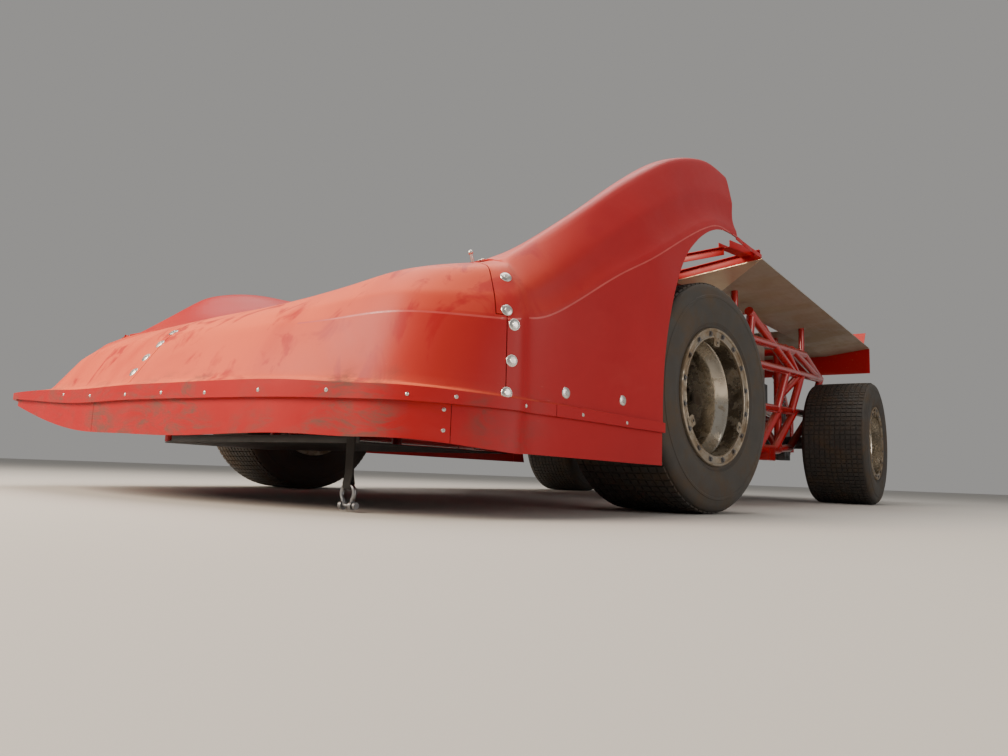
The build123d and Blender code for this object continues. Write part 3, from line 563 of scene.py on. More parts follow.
# %% Stations of the shell, in millimetres
# nose rows: outline x, outline y, edge x, edge y, shares of the way in, heights
nose_middle = (1326, 0, 890, 0,
               (0, 0, .045, .24, .40, .58, .74, .88, 1),
               (254, 293, 306, 428, 487, 523, 547, 564, 576))
nose_left_table = [
    nose_middle,
    (1316, 250, 890, 220,
     (0, 0, .045, .24, .40, .58, .74, .88, 1), (253, 292, 306, 430, 490, 530, 555, 575, 590)),
    (1286, 550, 890, 450,
     (0, 0, .04, .22, .36, .54, .70, .86, 1), (251, 291, 304, 436, 497, 544, 573, 596, 613)),
    (1235, 740, 890, 570,
     (0, 0, .04, .17, .28, .44, .60, .80, 1), (248, 282, 296, 444, 508, 555, 582, 604, 622)),
    (1166, 882, 890, 700,
     (0, 0, .03, .12, .21, .33, .48, .72, 1), (245, 277, 288, 446, 512, 558, 582, 606, 624)),
    (1000, 1000, 890, 830,
     (0, 0, .015, .05, .20, .34, .50, .74, 1), (240, 266, 276, 444, 526, 572, 592, 610, 622)),
]
nose_right_table = [
    nose_middle,
    (1316, 250, 890, 220,
     (0, 0, .05, .24, .40, .58, .74, .88, 1), (254, 292, 305, 424, 478, 514, 538, 557, 571)),
    (1294, 520, 890, 450,
     (0, 0, .08, .26, .40, .56, .72, .88, 1), (268, 302, 312, 414, 458, 496, 526, 552, 571)),
    (1272, 755, 890, 570,
     (0, 0, .22, .38, .50, .62, .74, .88, 1), (283, 304, 324, 412, 448, 476, 508, 540, 568)),
    (1190, 890, 890, 700,
     (0, 0, .26, .44, .56, .66, .76, .88, 1), (279, 302, 334, 436, 482, 506, 524, 544, 567)),
    (1000, 1000, 890, 830,
     (0, 0, .10, .30, .45, .58, .72, .86, 1), (250, 276, 300, 440, 496, 524, 538, 550, 562)),
]
# fender rows: x, distances from the middle of the car, left heights, right heights
fender_table = [
    (886, (1027, 1027, 1022, 1019, 990, 930, 890, 858, 826),
     (236, 264, 273, 466, 560, 622, 628, 632, 628),
     (248, 274, 283, 448, 504, 540, 550, 556, 564)),
    (850, (1035, 1035, 1029, 1027, 1000, 945, 895, 852, 812),
     (236, 264, 273, 481, 586, 660, 654, 648, 642),
     (247, 273, 282, 452, 514, 555, 564, 570, 576)),
    (665, (1070, 1070, 1064, 1063, 1034, 985, 925, 828, 772),
     (232, 260, 270, 594, 706, 800, 786, 740, 722),
     (240, 266, 276, 520, 608, 674, 680, 652, 640)),
    (530, (1090, 1090, 1084, 1083, 1052, 1003, 940, 828, 742),
     (229, 257, 267, 668, 790, 898, 884, 806, 770),
     (236, 262, 272, 580, 680, 765, 770, 704, 678)),
    (420, (1108, 1108, 1102, 1098, 1064, 1012, 950, 828, 718),
     (227, 254, 264, 727, 860, 972, 961, 838, 798),
     (232, 258, 268, 640, 740, 818, 822, 742, 716)),
    (200, (1118, 1118, 1112, 1096, 1062, 1022, 958, 830, 700),
     (222, 249, 259, 843, 980, 1098, 1092, 892, 862),
     (224, 250, 260, 738, 814, 872, 870, 800, 787)),
    (-50, (1120, 1120, 1114, 1081, 1052, 1022, 962, 840, 700),
     (215, 242, 252, 952, 1082, 1196, 1194, 952, 926),
     (215, 242, 252, 838, 868, 886, 892, 872, 864)),
    (-200, (1120, 1120, 1114, 1072, 1048, 1022, 964, 846, 700),
     (212, 239, 249, 982, 1120, 1229, 1226, 976, 955),
     (212, 239, 249, 870, 908, 934, 940, 920, 910)),
    (-340, (1120, 1120, 1114, 1064, 1045, 1020, 964, 850, 700),
     (210, 237, 247, 998, 1130, 1236, 1234, 1000, 985),
     (210, 237, 247, 900, 950, 982, 988, 966, 957)),
]
# how far the channel sinks in between the crease and the ridge of a fender, section by section
channel_depths = (-3, 0, 5, 9, 12, 14, 13, 10, 8)
print(len(nose_left_table), "nose and", len(fender_table), "fender sections on the left")

# %% From the stations to rows of points
def nose_row(row, side):
    """A section of the nose, with a point of its smooth curve where the channel runs out."""
    x, y, edge_x, edge_y, shares, heights = row
    points = [place(x + (edge_x - x) * s, side * (y + (edge_y - y) * s), z)
              for s, z in zip(shares, heights)]
    between = (9 * (points[3] + points[4]) - points[2] - points[5]) / 16
    return points[:4] + [between] + points[4:]


def fender_row(row, side, depth):
    """A section of a fender, with the bottom of its channel."""
    heights = row[2] if side > 0 else row[3]
    points = [place(row[0], side * y, z) for y, z in zip(row[1], heights)]
    bottom = (points[3] + points[4]) / 2 - Vector((0, side * depth / 1000, 0))
    return points[:4] + [bottom] + points[4:]


left_rows = [nose_row(row, 1) for row in nose_left_table]
left_rows += [fender_row(row, 1, depth) for row, depth in zip(fender_table, channel_depths)]
right_rows = [nose_row(row, -1) for row in nose_right_table]
right_rows += [fender_row(row, -1, depth) for row, depth in zip(fender_table, channel_depths)]
# the first fender section is drawn forward, so that the corner of the nose turns at the seam
seam_row, fender_share = len(nose_left_table) - 1, 0.55
for rows in (left_rows, right_rows):
    rows[seam_row + 1] = [nose * (1 - fender_share) + fender * fender_share
                          for nose, fender in zip(rows[seam_row], rows[seam_row + 1])]
shell_rows = right_rows[:0:-1] + left_rows
columns = len(shell_rows[0])
print(len(shell_rows), "sections of", columns, "points")

# %% [markdown]
# ## Creases of the shell
# A moulded crease is neither a sharp fold nor a soft bend. The subdivision surface has a
# sharpness for each edge of its cage, so each line of the shell gets its own, from section to
# section. The line that is painted pale, as a highlight along the edge and as rubbed wear, is
# marked as a seam too, and the mark survives fairing and cutting.

# %% Creased cage and faired skin
crease, ridge, crown = 3, 5, 6
middle_row, end_row = len(right_rows) - 1, len(shell_rows)
cage = bridged(shell_rows)
# column of the section, sharpness, first section, end section
crease_lines = (
    (1, 0.75, 0, end_row),
    (2, 0.75, 0, end_row),
    (crease, 0.95, middle_row + 3, end_row),
    (crease, 0.7, middle_row + 1, middle_row + 3),
    (crease, 0.7, 0, middle_row - 2),
    (ridge, 0.7, middle_row + 8, end_row),
    (crown, 0.4, middle_row + 6, end_row),
    (crown + 1, 0.4, middle_row + 6, end_row),
)
creases = [(edge, sharpness) for column, sharpness, low, high in crease_lines
           for edge in along_points(cage, columns, column, low, high)]
for low, high in ((0, middle_row - 3), (middle_row + 2, end_row)):
    for edge in along_points(cage, columns, crease, low, high):
        edge.seam = True
whole_shell = faired(cage, creases)
print("faired shell", len(whole_shell.polygons), "faces")

# %% [markdown]
# ## The seam between nose and fender
# Below the crease the nose and the fender butt along a slanting line. Above it the fender laps
# over the nose, and further in a tab reaches forward once more, so the seam jogs. Planes divide
# the faces along both edges of the gap, and a test on each face's middle then sorts the faces.

# %% Cut the shell into four panels
seam_low = place(1000, 1000, 0)
seam_way = (place(890, 830, 0) - seam_low).normalized()
seam_back = Vector((seam_way.y, -seam_way.x, 0))
half_gap, seam_reach = 0.0012, 0.12
lap, tab, tab_start, crease_height = 0.026, 0.070, 0.176, 0.453


def across_car(v):
    """The place on the other side of the car."""
    return Vector((v.x, -v.y, v.z))


def past_seam(spot, grow):
    """Whether a place is on the fender's side of the seam, with the seam moved ahead a little."""
    away = Vector((spot.x, abs(spot.y), spot.z)) - seam_low
    behind, inward, up = away.dot(seam_back), away.dot(seam_way), spot.z - crease_height
    lapped = behind > -lap - grow or (inward > tab_start - grow and behind > -tab - grow)
    return behind > -grow or (up > -grow and lapped)


def cut_at_seam(half, side):
    """One side of the shell with its faces divided along both edges of the seam."""
    back, way, low = (v if side > 0 else across_car(v) for v in (seam_back, seam_way, seam_low))
    bm = bmesh.new()
    bm.from_mesh(half)
    for shift in (half_gap, -half_gap):
        planes = [(low + back * (shift - ahead), back) for ahead in (0, lap, tab)]
        planes += [(low + way * (tab_start + shift), way),
                   (Vector((0, 0, crease_height + shift)), Vector((0, 0, 1)))]
        for point, normal in planes:
            faces = [f for f in bm.faces
                     if abs((f.calc_center_median() - low).dot(back)) < seam_reach]
            parts = {part for f in faces for part in (*f.verts, *f.edges)}
            bmesh.ops.bisect_plane(bm, geom=faces + list(parts), plane_co=point, plane_no=normal)
    return bm


def kept_faces(bm, wanted):
    """A mesh of the faces whose middle passes a test."""
    copy = bm.copy()
    rest = [f for f in copy.faces if not wanted(f.calc_center_median())]
    bmesh.ops.delete(copy, geom=rest, context="FACES")
    return poured(copy, "panel")


panels = {}
for side, word in ((1, "left"), (-1, "right")):
    middle = Vector((0, side * 0.001, 0))
    half = cut_at_seam(sliced(whole_shell, middle, Vector((0, -side, 0))), side)
    panels["fender_" + word] = kept_faces(half, lambda spot: past_seam(spot, -half_gap))
    panels["nose_" + word] = kept_faces(half, lambda spot: not past_seam(spot, half_gap))
    half.free()
print("faces of the panels", {name: len(mesh.polygons) for name, mesh in panels.items()})

# %% [markdown]
# ## The wheel arch
# The opening over a front wheel is one flowing line, drawn as a smooth curve and pushed across
# the fender as a cutter. Its points are joined by a curve with automatic handles, because
# straight pieces would show as corners. The left arch follows the photograph and the right one,
# which is out of sight, is lower with the fender.

# %% Arch cutters
arch_left = [(400, 100), (400, 240), (396, 360), (380, 470), (346, 580), (298, 680),
             (230, 771), (145, 838), (47, 895), (-50, 937), (-142, 966), (-250, 985),
             (-360, 995), (-470, 999)]
arch_right = [(400, 100), (400, 240), (399, 360), (388, 480), (360, 580), (304, 669),
              (230, 740), (145, 774), (47, 802), (-50, 821), (-142, 832), (-250, 838),
              (-360, 840), (-470, 840)]
cutter_side, cutter_depth = 880, 0.4


def arch_cutter(side, points):
    """A solid block under the arch line, across one front corner."""
    curve = bpy.data.curves.new("arch", "CURVE")
    spline = curve.splines.new("BEZIER")
    spline.bezier_points.add(len(points) - 1)
    for point, (x, z) in zip(spline.bezier_points, points):
        point.co = place(x, side * cutter_side, z)
        point.handle_left_type = point.handle_right_type = "AUTO"
    spline.resolution_u = 6
    line = scratch(curve)
    bm = bmesh.new()
    bm.from_mesh(settled(line))
    bpy.data.objects.remove(line)
    bm.verts.ensure_lookup_table()
    ends = [v for v in bm.verts if len(v.link_edges) == 1]
    back = min(ends, key=lambda v: v.co.x)
    start = max(ends, key=lambda v: v.co.x)
    under = bm.verts.new(Vector((back.co.x, back.co.y, start.co.z)))
    bm.edges.new((back, under))
    bm.edges.new((under, start))
    face = bmesh.ops.contextual_create(bm, geom=bm.edges[:])["faces"]
    grown = bmesh.ops.extrude_face_region(bm, geom=face)["geom"]
    verts = [v for v in grown if isinstance(v, bmesh.types.BMVert)]
    bmesh.ops.translate(bm, verts=verts, vec=(0, side * cutter_depth, 0))
    bmesh.ops.recalc_face_normals(bm, faces=bm.faces[:])
    return poured(bm, "arch_cutter")


print("arches of", len(arch_left), "and", len(arch_right), "points")

# %% [markdown]
# ## From skins to panels
# A skin gets its wall thickness inwards before the arch is cut, so that the cut edge shows the
# wall. The crease is then bevelled into a narrow band with the pale crease finish, which draws
# the thin pale line that runs from the nose up to the flare: a painted highlight and rubbed wear.

# %% Thickness, arch and crease
wall = 0.0045
inside_car = Vector((1.0, 0, 0.2))


def outward(mesh):
    """A skin whose faces look away from the middle of the car."""
    bm = bmesh.new()
    bm.from_mesh(mesh)
    bmesh.ops.recalc_face_normals(bm, faces=bm.faces[:])
    total = sum(f.calc_area() * f.normal.dot(f.calc_center_median() - inside_car)
                for f in bm.faces)
    if total < 0:
        bmesh.ops.reverse_faces(bm, faces=bm.faces[:])
    bm.to_mesh(mesh)
    bm.free()
    return mesh


def crisp(mesh, width=0.0024):
    """Turn the marked crease of a panel into a narrow rounded edge of the second material."""
    bm = bmesh.new()
    bm.from_mesh(mesh)
    found = [e for e in bm.edges if e.seam and len(e.link_faces) == 2
             and all(near.calc_length() > 0.9 * width for v in e.verts for near in v.link_edges)]
    made = bmesh.ops.bevel(bm, geom=found, offset=width, segments=2, affect="EDGES",
                           profile=0.5, clamp_overlap=True, material=1)
    band = set(made["faces"])
    for face in band:
        face.smooth = True
        for edge in face.edges:
            if any(other not in band for other in edge.link_faces):
                edge.smooth = False
    bm.to_mesh(mesh)
    bm.free()
    return len(found)


skins = {"shell": outward(whole_shell.copy())}
for name, mesh in panels.items():
    mesh = outward(mesh)
    skins[name] = mesh.copy()
    mesh = with_modifier(mesh, "SOLIDIFY", thickness=wall, offset=-1, use_even_offset=True)
    if name.startswith("fender"):
        left = name.endswith("left")
        cutter = scratch(arch_cutter(1 if left else -1, arch_left if left else arch_right))
        mesh = with_modifier(mesh, "BOOLEAN", object=cutter, operation="DIFFERENCE",
                             solver="EXACT", use_self=True)
        bpy.data.objects.remove(cutter)
    panels[name] = add_piece("shell_" + name, mesh, shell_red, "chassis", [name],
                             sharp=30)
    # the second material paints the crease band pale: a painted highlight and rubbed wear
    panels[name].data.materials.append(crease_highlight_and_wear)
    edges = crisp(panels[name].data)
    print(name, len(mesh.polygons), "faces,", edges, "edges of the crease")

# %% [markdown]
# ## Lip strip and valance
# Over the foot of the shell runs a narrow strip with a row of screws, and behind it hangs a deep
# flexible valance that takes the knocks. On the right of the car only a short tapering piece of
# the valance is left, and the strip is bent up at the corner. Both use the stations of the shell,
# so they follow its outline: the same skin, moved out or in by a wall.

# %% Lip strip in two lengths
front_sections, right_sections = 12, 4
strip_out, strip_wall = 0.0004, 0.004
strip_joint, cut = front_axle + 0.850, 0.0008
arch_front, backward = place(404, 0, 0), Vector((-1, 0, 0))


def foot_rows(rows, ways, out, lows, highs):
    """Upright rows of three points at the foot of the shell, moved out by a distance."""
    made = []
    for row, way, low, high in zip(rows, ways, lows, highs):
        spot = row[0] + way * out
        made.append([Vector((spot.x, spot.y, z / 1000)) for z in (low, (low + high) / 2, high)])
    return made


def ways_out(table, side):
    """The level direction out of the shell at each section."""
    found = []
    for x, y, edge_x, edge_y, *rest in table:
        found.append(Vector((x - edge_x, side * (y - edge_y), 0)).normalized())
    return found + [Vector((0, side, 0))] * (front_sections - len(table))


left_ways = ways_out(nose_left_table, 1)
right_ways = ways_out(nose_right_table, -1)
left_front, right_front = left_rows[:front_sections], right_rows[:front_sections]
gap_left, top_left = ([row[i].z * 1000 for row in left_front] for i in (0, 1))
gap_right, top_right = ([row[i].z * 1000 for row in right_front] for i in (0, 1))
strip_rows = foot_rows(right_front, right_ways, strip_out, gap_right, top_right)[:0:-1]
strip_rows += foot_rows(left_front, left_ways, strip_out, gap_left, top_left)
strip = sliced(outward(faired(bridged(strip_rows))), arch_front, backward)
skins["strip"] = strip.copy()
divided = bmesh.new()
divided.from_mesh(strip)
for x in (strip_joint - cut, strip_joint + cut):
    split_at(divided, (x, 0, 0), (1, 0, 0))
strip_pieces = {
    "side": kept_faces(divided, lambda spot: spot.y > 0 and spot.x < strip_joint - cut),
    "front": kept_faces(divided, lambda spot: spot.y < 0 or spot.x > strip_joint + cut),
}
divided.free()
for name, mesh in strip_pieces.items():
    mesh = with_modifier(mesh, "SOLIDIFY", thickness=strip_wall, offset=1, use_even_offset=True)
    add_piece("lip_strip_" + name, mesh, shell_red, "chassis", ["lip_strip"], sharp=35)
    print("strip", name, len(mesh.polygons), "faces")

# %% Valance, cut at its joints
valance_low_left = [169, 164, 172, 167, 165, 147, 145, 144, 141, 139, 138, 136]
valance_low_right = [169, 178, 215, 262]
valance_in, valance_wall, hidden = -0.0052, 0.004, 14
valance_rows = foot_rows(right_rows[:right_sections], right_ways, valance_in, valance_low_right,
                         [z + hidden for z in gap_right])[:0:-1]
valance_rows += foot_rows(left_front, left_ways, valance_in, valance_low_left,
                          [z + hidden for z in gap_left])
valance = sliced(outward(faired(bridged(valance_rows))), arch_front, backward)
joint_left = place(1100, 928, 0)
joint_way = (place(1000, 1000, 0) - place(1166, 882, 0)).normalized()
joint_right = place(0, -160, 0)
valance_pieces = {
    "valance_left": sliced(valance, joint_left + joint_way * cut, -joint_way),
    "valance_right": sliced(valance, joint_right - Vector((0, cut, 0)), Vector((0, 1, 0))),
    "valance_front": sliced(sliced(valance, joint_left - joint_way * cut, joint_way),
                            joint_right + Vector((0, cut, 0)), Vector((0, -1, 0))),
}
for name, mesh in valance_pieces.items():
    skins[name] = mesh.copy()
    mesh = with_modifier(mesh, "SOLIDIFY", thickness=valance_wall, offset=-1,
                         use_even_offset=True)
    add_piece(name + "_band", mesh, shell_red, "chassis", [name], sharp=35)
print("valance in", len(valance_pieces), "pieces")

# %% [markdown]
# ## The hood
# The hood is one sheet between the fenders, lower on the right of the car and rising to the
# taller fender on the left. It is faired from its own short table, in the same way as the shell.

# %% Hood
# x, half the width, heights from left to right
hood_table = [
    (886, 822, (626, 598, 578, 573, 566)), (850, 808, (640, 608, 588, 583, 576)),
    (665, 768, (712, 660, 638, 636, 637)), (530, 738, (762, 702, 678, 676, 676)),
    (420, 714, (790, 738, 714, 714, 713)), (200, 696, (850, 802, 782, 782, 782)),
    (-50, 696, (915, 876, 860, 860, 860)), (-200, 696, (952, 921, 906, 906, 906)),
    (-340, 696, (980, 959, 950, 950, 950)), (-500, 696, (1004, 1001, 1000, 1000, 1000)),
]
hood_shares, hood_wall = (0, .31, .5, .69, 1), 0.003
hood_rows = []
for x, half, heights in hood_table:
    across = [half * (1 - 2 * share) for share in hood_shares]
    hood_rows.append([place(x, y, z) for y, z in zip(across, heights)])
hood_skin = outward(faired(bridged(hood_rows)))
skins["hood"] = hood_skin.copy()
hood = with_modifier(hood_skin, "SOLIDIFY", thickness=hood_wall, offset=-1)
add_piece("hood_sheet", hood, sheet_red, "chassis", ["hood"], sharp=35)
print("hood", len(hood.polygons), "faces")

# %% [markdown]
# ## Corners of the car
# Wheels and tyres are made once about their own axle, with the outer face to the left, and moved
# to each corner. The front pair follows the steering, which stands about eight degrees to the
# right. A turn of the profile about the axle gives any ring of the wheel.

# %% Where each corner's wheel stands
def corner_move(x, side, steer):
    """The move from a wheel's own centre to its corner."""
    out = wheel_half - kingpin_half
    facing = Matrix.Rotation(0 if side > 0 else math.pi, 4, "Z")
    spot = Matrix.Translation(place(x, side * kingpin_half * 1000, axle_height * 1000))
    turn = Matrix.Rotation(steer, 4, "Z")
    return spot @ turn @ Matrix.Translation((0, side * out, 0)) @ facing


corners = {
    "front_left": ("wheel_fl", corner_move(0, 1, steer_now)),
    "front_right": ("wheel_fr", corner_move(0, -1, steer_now)),
    "rear_left": ("wheel_rl", corner_move(-wheelbase * 1000, 1, 0)),
    "rear_right": ("wheel_rr", corner_move(-wheelbase * 1000, -1, 0)),
}
print("wheels stand at", {name: tuple(round(v, 3) for v in move.translation)
                          for name, (body, move) in corners.items()})


# %% Rings of a wheel, at all four corners
def spun(profile, steps):
    """A ring about the wheel's axle from points (radius, y), in millimetres."""
    bm = bmesh.new()
    verts = [bm.verts.new((0, y / 1000, r / 1000)) for r, y in profile]
    edges = [bm.edges.new(pair) for pair in zip(verts, verts[1:] + verts[:1])]
    bmesh.ops.spin(bm, geom=verts + edges, cent=(0, 0, 0), axis=(0, 1, 0), dvec=(0, 0, 0),
                   angle=2 * math.pi, steps=steps, use_merge=True, use_duplicate=False)
    bmesh.ops.remove_doubles(bm, verts=bm.verts[:], dist=1e-6)
    bmesh.ops.recalc_face_normals(bm, faces=bm.faces[:])
    return bm


def on_every_corner(name, bm, finish, stands_for=None, sharp=38):
    """The same piece at all four corners."""
    for corner, (body, move) in corners.items():
        copy = bm.copy()
        bmesh.ops.transform(copy, matrix=move, verts=copy.verts[:])
        nodes_hidden = [stands_for + "_" + corner] if stands_for else ()
        add_piece(name + "_" + corner, copy, finish, body, nodes_hidden, sharp)
    print(name, len(bm.faces), "faces a corner")
    bm.free()


print("a ring goes to", len(corners), "corners")

# %% [markdown]
# ## Tyres
# The tyre is a spun section: bead, ribbed wall, shoulder and a flat tread. The tread is cut in a
# grid of small blocks, so each of its quads is inset, and the inset face is raised. Separate
# blocks laid on a smooth tyre would need many more faces.

# %% Tyre with block tread
tread_radius, tread_half = 0.3535, 0.153
groove_half, block_slope, block_height = 0.0028, 0.0006, 0.0052


def tread_tyre():
    """A tyre about its own axle, with a raised block on each quad of its tread."""
    wall_points = [(191, 160), (204, 162), (214, 160.5), (222, 165), (226, 165), (234, 171.5),
                   (240, 171.5), (250, 174.5), (272, 177.2), (292, 177.8), (310, 176.6),
                   (312, 178.0), (318, 177.6), (320, 175.6), (332, 173.0), (342, 170.5)]
    shoulder = [(351, 163), (354.5, 156)]
    lanes = 11
    tread = [(355.2 + 1.6 * (1 - (2 * i / lanes - 1) ** 2), 154 - 308 * i / lanes)
             for i in range(1, lanes)]
    tread = [(354.6, 154)] + tread + [(354.6, -154)]
    inner_side = [(r, -y) for r, y in reversed(wall_points + shoulder)]
    inner = [(191, -146), (260, -162), (320, -158), (345, -140), (345, 140), (320, 158),
             (260, 162), (191, 146)]
    bm = spun(wall_points + shoulder + tread + inner_side + inner, 84)
    blocks = []
    for face in bm.faces:
        middle = face.calc_center_median()
        outward_way = Vector((middle.x, 0, middle.z))
        on_tread = outward_way.length > tread_radius and abs(middle.y) < tread_half
        if on_tread and face.normal.dot(outward_way) > 0:
            blocks.append(face)
    bmesh.ops.inset_individual(bm, faces=blocks, thickness=groove_half, depth=0.0,
                               use_even_offset=True)
    bmesh.ops.inset_individual(bm, faces=blocks, thickness=block_slope, depth=block_height)
    return bm


on_every_corner("tyre_treaded", tread_tyre(), rubber, "tyre", sharp=32)

# %% [markdown]
# ## Wheels
# A dirt-track wheel is a deep spun barrel. Its outer edge is a dull clamping ring with sixteen
# bolts and three drilled tabs for a mud cover, the barrel steps inwards and is brighter, and the
# dark disc deep inside bolts to the hub. Each is a closed outline spun about the axle, as on the
# lathe that makes the real one.

# %% Barrel, ring and centre
barrel_profile = [(184.5, 168), (184.5, 112), (181, 108), (179.5, 100), (163, 80), (160, 74),
                  (160, -50), (166, -50), (166, 72), (190, 112), (190.3, 160), (190.3, 168)]
back_profile = [(206, -170), (209, -167), (209, -163), (206, -160.5), (190.3, -160.5),
                (190.3, -138), (166, -111), (166, -61), (160, -61), (160, -115),
                (184.5, -142), (184.5, -168), (187, -170)]
ring_profile = [(184, 168.2), (184, 160.8), (216, 160.8), (216, 168), (214.5, 171),
                (211, 172.5), (207.5, 171), (206, 167.6), (196, 166.6), (190, 166.8),
                (186, 169.4)]
centre_profile = [(88, -60), (160, -60), (160, -50), (150, -50), (143, -46), (112, -46),
                  (104, -50), (92, -50), (88, -52)]
on_every_corner("wheel_barrel", spun(barrel_profile, 72), barrel_metal, "wheel")
on_every_corner("wheel_back", spun(back_profile, 72), ring_metal)
on_every_corner("wheel_ring", spun(ring_profile, 96), ring_metal)
on_every_corner("wheel_centre", spun(centre_profile, 72), inner_metal)

# %% [markdown]
# ## Small fasteners
# Bolts, washers and rivets are all the same idea: low cones with a few sides, stacked on a point
# with their axis along the surface's direction. One helper stands a part on a surface, one makes
# a cone, and a hex head on its washer is two cones. A cone costs a few dozen faces, so there can
# be many.

# %% Bolt heads
def stood_on(point, normal, turn=0.0):
    """The move that stands a small part on a surface."""
    lean = Vector(normal).to_track_quat("Z", "Y").to_matrix().to_4x4()
    return Matrix.Translation(point) @ lean @ Matrix.Rotation(turn, 4, "Z")


def disc(bm, move, radius, top, height, sides=16):
    """A low cone from the surface up."""
    lift = Matrix.Translation((0, 0, height / 2))
    return bmesh.ops.create_cone(bm, cap_ends=True, cap_tris=False, segments=sides,
                                 radius1=radius, radius2=top, depth=height,
                                 matrix=move @ lift)["verts"]


def raised(move, height):
    """The same move, further out along the part's axis."""
    return move @ Matrix.Translation((0, 0, height))


def hex_bolt(bm, move, across, height):
    """A hexagonal head on a washer."""
    disc(bm, move, across * 0.85, across * 0.85, 0.0016, 16)
    disc(bm, raised(move, 0.0014), across / 1.732, across / 1.9, height, 6)


def about_axle(radius, y, angle):
    """The place at an angle about the wheel's axle."""
    return Vector((radius * math.sin(angle), y, radius * math.cos(angle)))


sample = bmesh.new()
hex_bolt(sample, Matrix.Identity(4), 0.011, 0.005)
print("a bolt head on its washer has", len(sample.faces), "faces")
sample.free()

# %% Ring bolts and mud-cover tabs
leftward = (0, 1, 0)
ring_count, ring_circle, ring_face = 16, 0.198, 0.1668
tab_turns = [math.radians(turn) for turn in (0, 120, 240)]
tab_size, tab_corner, tab_middle = (0.034, 0.0045, 0.036), 0.006, (0, 0.1665, 0.1765)
tab_face, hole_face, nut_height, screw_height = 0.1687, 0.1712, 0.170, 0.186


def ring_bolts():
    """The bolts of the clamping ring."""
    bm = bmesh.new()
    for i in range(ring_count):
        angle = 2 * math.pi * (i + 0.5) / ring_count
        spot = about_axle(ring_circle, ring_face, angle)
        hex_bolt(bm, stood_on(spot, leftward, angle), 0.011, 0.005)
    return bm


def cover_tabs():
    """Three drilled tabs, each a small plate with a raised spring nut."""
    bm = bmesh.new()
    for turn in tab_turns:
        tab = bmesh.new()
        made = bmesh.ops.create_cube(tab, size=1)["verts"]
        bmesh.ops.scale(tab, vec=tab_size, verts=made)
        edges = [e for e in tab.edges if abs(e.verts[0].co.y - e.verts[1].co.y) > 0.001]
        bmesh.ops.bevel(tab, geom=edges, offset=tab_corner, segments=3, affect="EDGES",
                        profile=0.5, material=-1)
        bmesh.ops.translate(tab, verts=tab.verts[:], vec=tab_middle)
        disc(tab, stood_on((0, tab_face, nut_height), leftward), 0.0085, 0.008, 0.0025, 18)
        for x in (-0.011, 0.011):
            move = stood_on((x, tab_face, screw_height), leftward)
            disc(tab, move, 0.0032, 0.0026, 0.0018, 10)
        bmesh.ops.rotate(tab, verts=tab.verts[:], cent=(0, 0, 0),
                         matrix=Matrix.Rotation(turn, 3, "Y"))
        mesh = poured(tab, "tab")
        bm.from_mesh(mesh)
        bpy.data.meshes.remove(mesh)
    return bm


def tab_holes():
    """A black disc in the middle of each spring nut: painted shade that stands in for its hole."""
    bm = bmesh.new()
    for turn in tab_turns:
        move = stood_on(about_axle(nut_height, hole_face, turn), leftward)
        disc(bm, move, 0.0040, 0.0040, 0.0006, 14)
    return bm


on_every_corner("ring_bolts", ring_bolts(), dark_steel, sharp=30)
on_every_corner("cover_tabs", cover_tabs(), ring_metal, sharp=30)
# a black disc in each spring nut is painted shade for its hole
on_every_corner("tab_holes", tab_holes(), hole_shade_black, sharp=30)

# %% Wheel nuts on the centre disc
nut_count, nut_circle, nut_face = 5, 0.127, -0.046


def wheel_nuts():
    """The five wide-spaced nuts that hold a wheel."""
    bm = bmesh.new()
    for i in range(nut_count):
        angle = 2 * math.pi * i / nut_count
        spot = about_axle(nut_circle, nut_face, angle)
        hex_bolt(bm, stood_on(spot, leftward, angle), 0.026, 0.020)
    return bm


on_every_corner("wheel_nuts", wheel_nuts(), dark_steel, sharp=30)

# %% [markdown]
# ## Fasteners on the shell
# The panels are held by round dished washers a little over an inch across, and the lip strip by
# small rivets, so that a crash crew can change a panel in minutes. The places of those that the
# photograph shows are its pixels, and a line of sight through each pixel meets the panel there.

# %% Lines of sight
photo_wide, photo_high = 1008, 756


def tree_of(mesh):
    """A mesh that lines can be cast onto."""
    return BVHTree.FromPolygons([v.co for v in mesh.vertices],
                                [p.vertices[:] for p in mesh.polygons])


def facing_back(normal, way):
    """A surface's direction, turned to face a line that comes along a way."""
    return -normal if normal.dot(way) > 0 else normal


trees = {name: tree_of(mesh) for name, mesh in skins.items()}


def met(name, start, way):
    """The point and outward direction where a line meets a panel."""
    spot, normal, index, distance = trees[name].ray_cast(start, way)
    return spot, facing_back(normal, way)


def sighted(name, u, v):
    """The place on a panel that shows at a pixel of the photograph."""
    focal = camera.data.lens / camera.data.sensor_width * photo_wide
    way = Vector((u - photo_wide / 2, photo_high / 2 - v, -focal)).normalized()
    return met(name, camera.matrix_world.translation, camera.matrix_world.to_3x3() @ way)


print("panels ready for fasteners:", sorted(trees))

# %% Washers of the seams and fenders
def dished_washer(bm, spot, normal):
    """A wide dished washer with a round head in its middle."""
    move = stood_on(spot, normal, turn=0.6)
    disc(bm, move, 0.0140, 0.0131, 0.0012, 28)
    disc(bm, raised(move, 0.0011), 0.0129, 0.0084, 0.0020, 28)
    disc(bm, raised(move, 0.0029), 0.0062, 0.0054, 0.0014, 20)


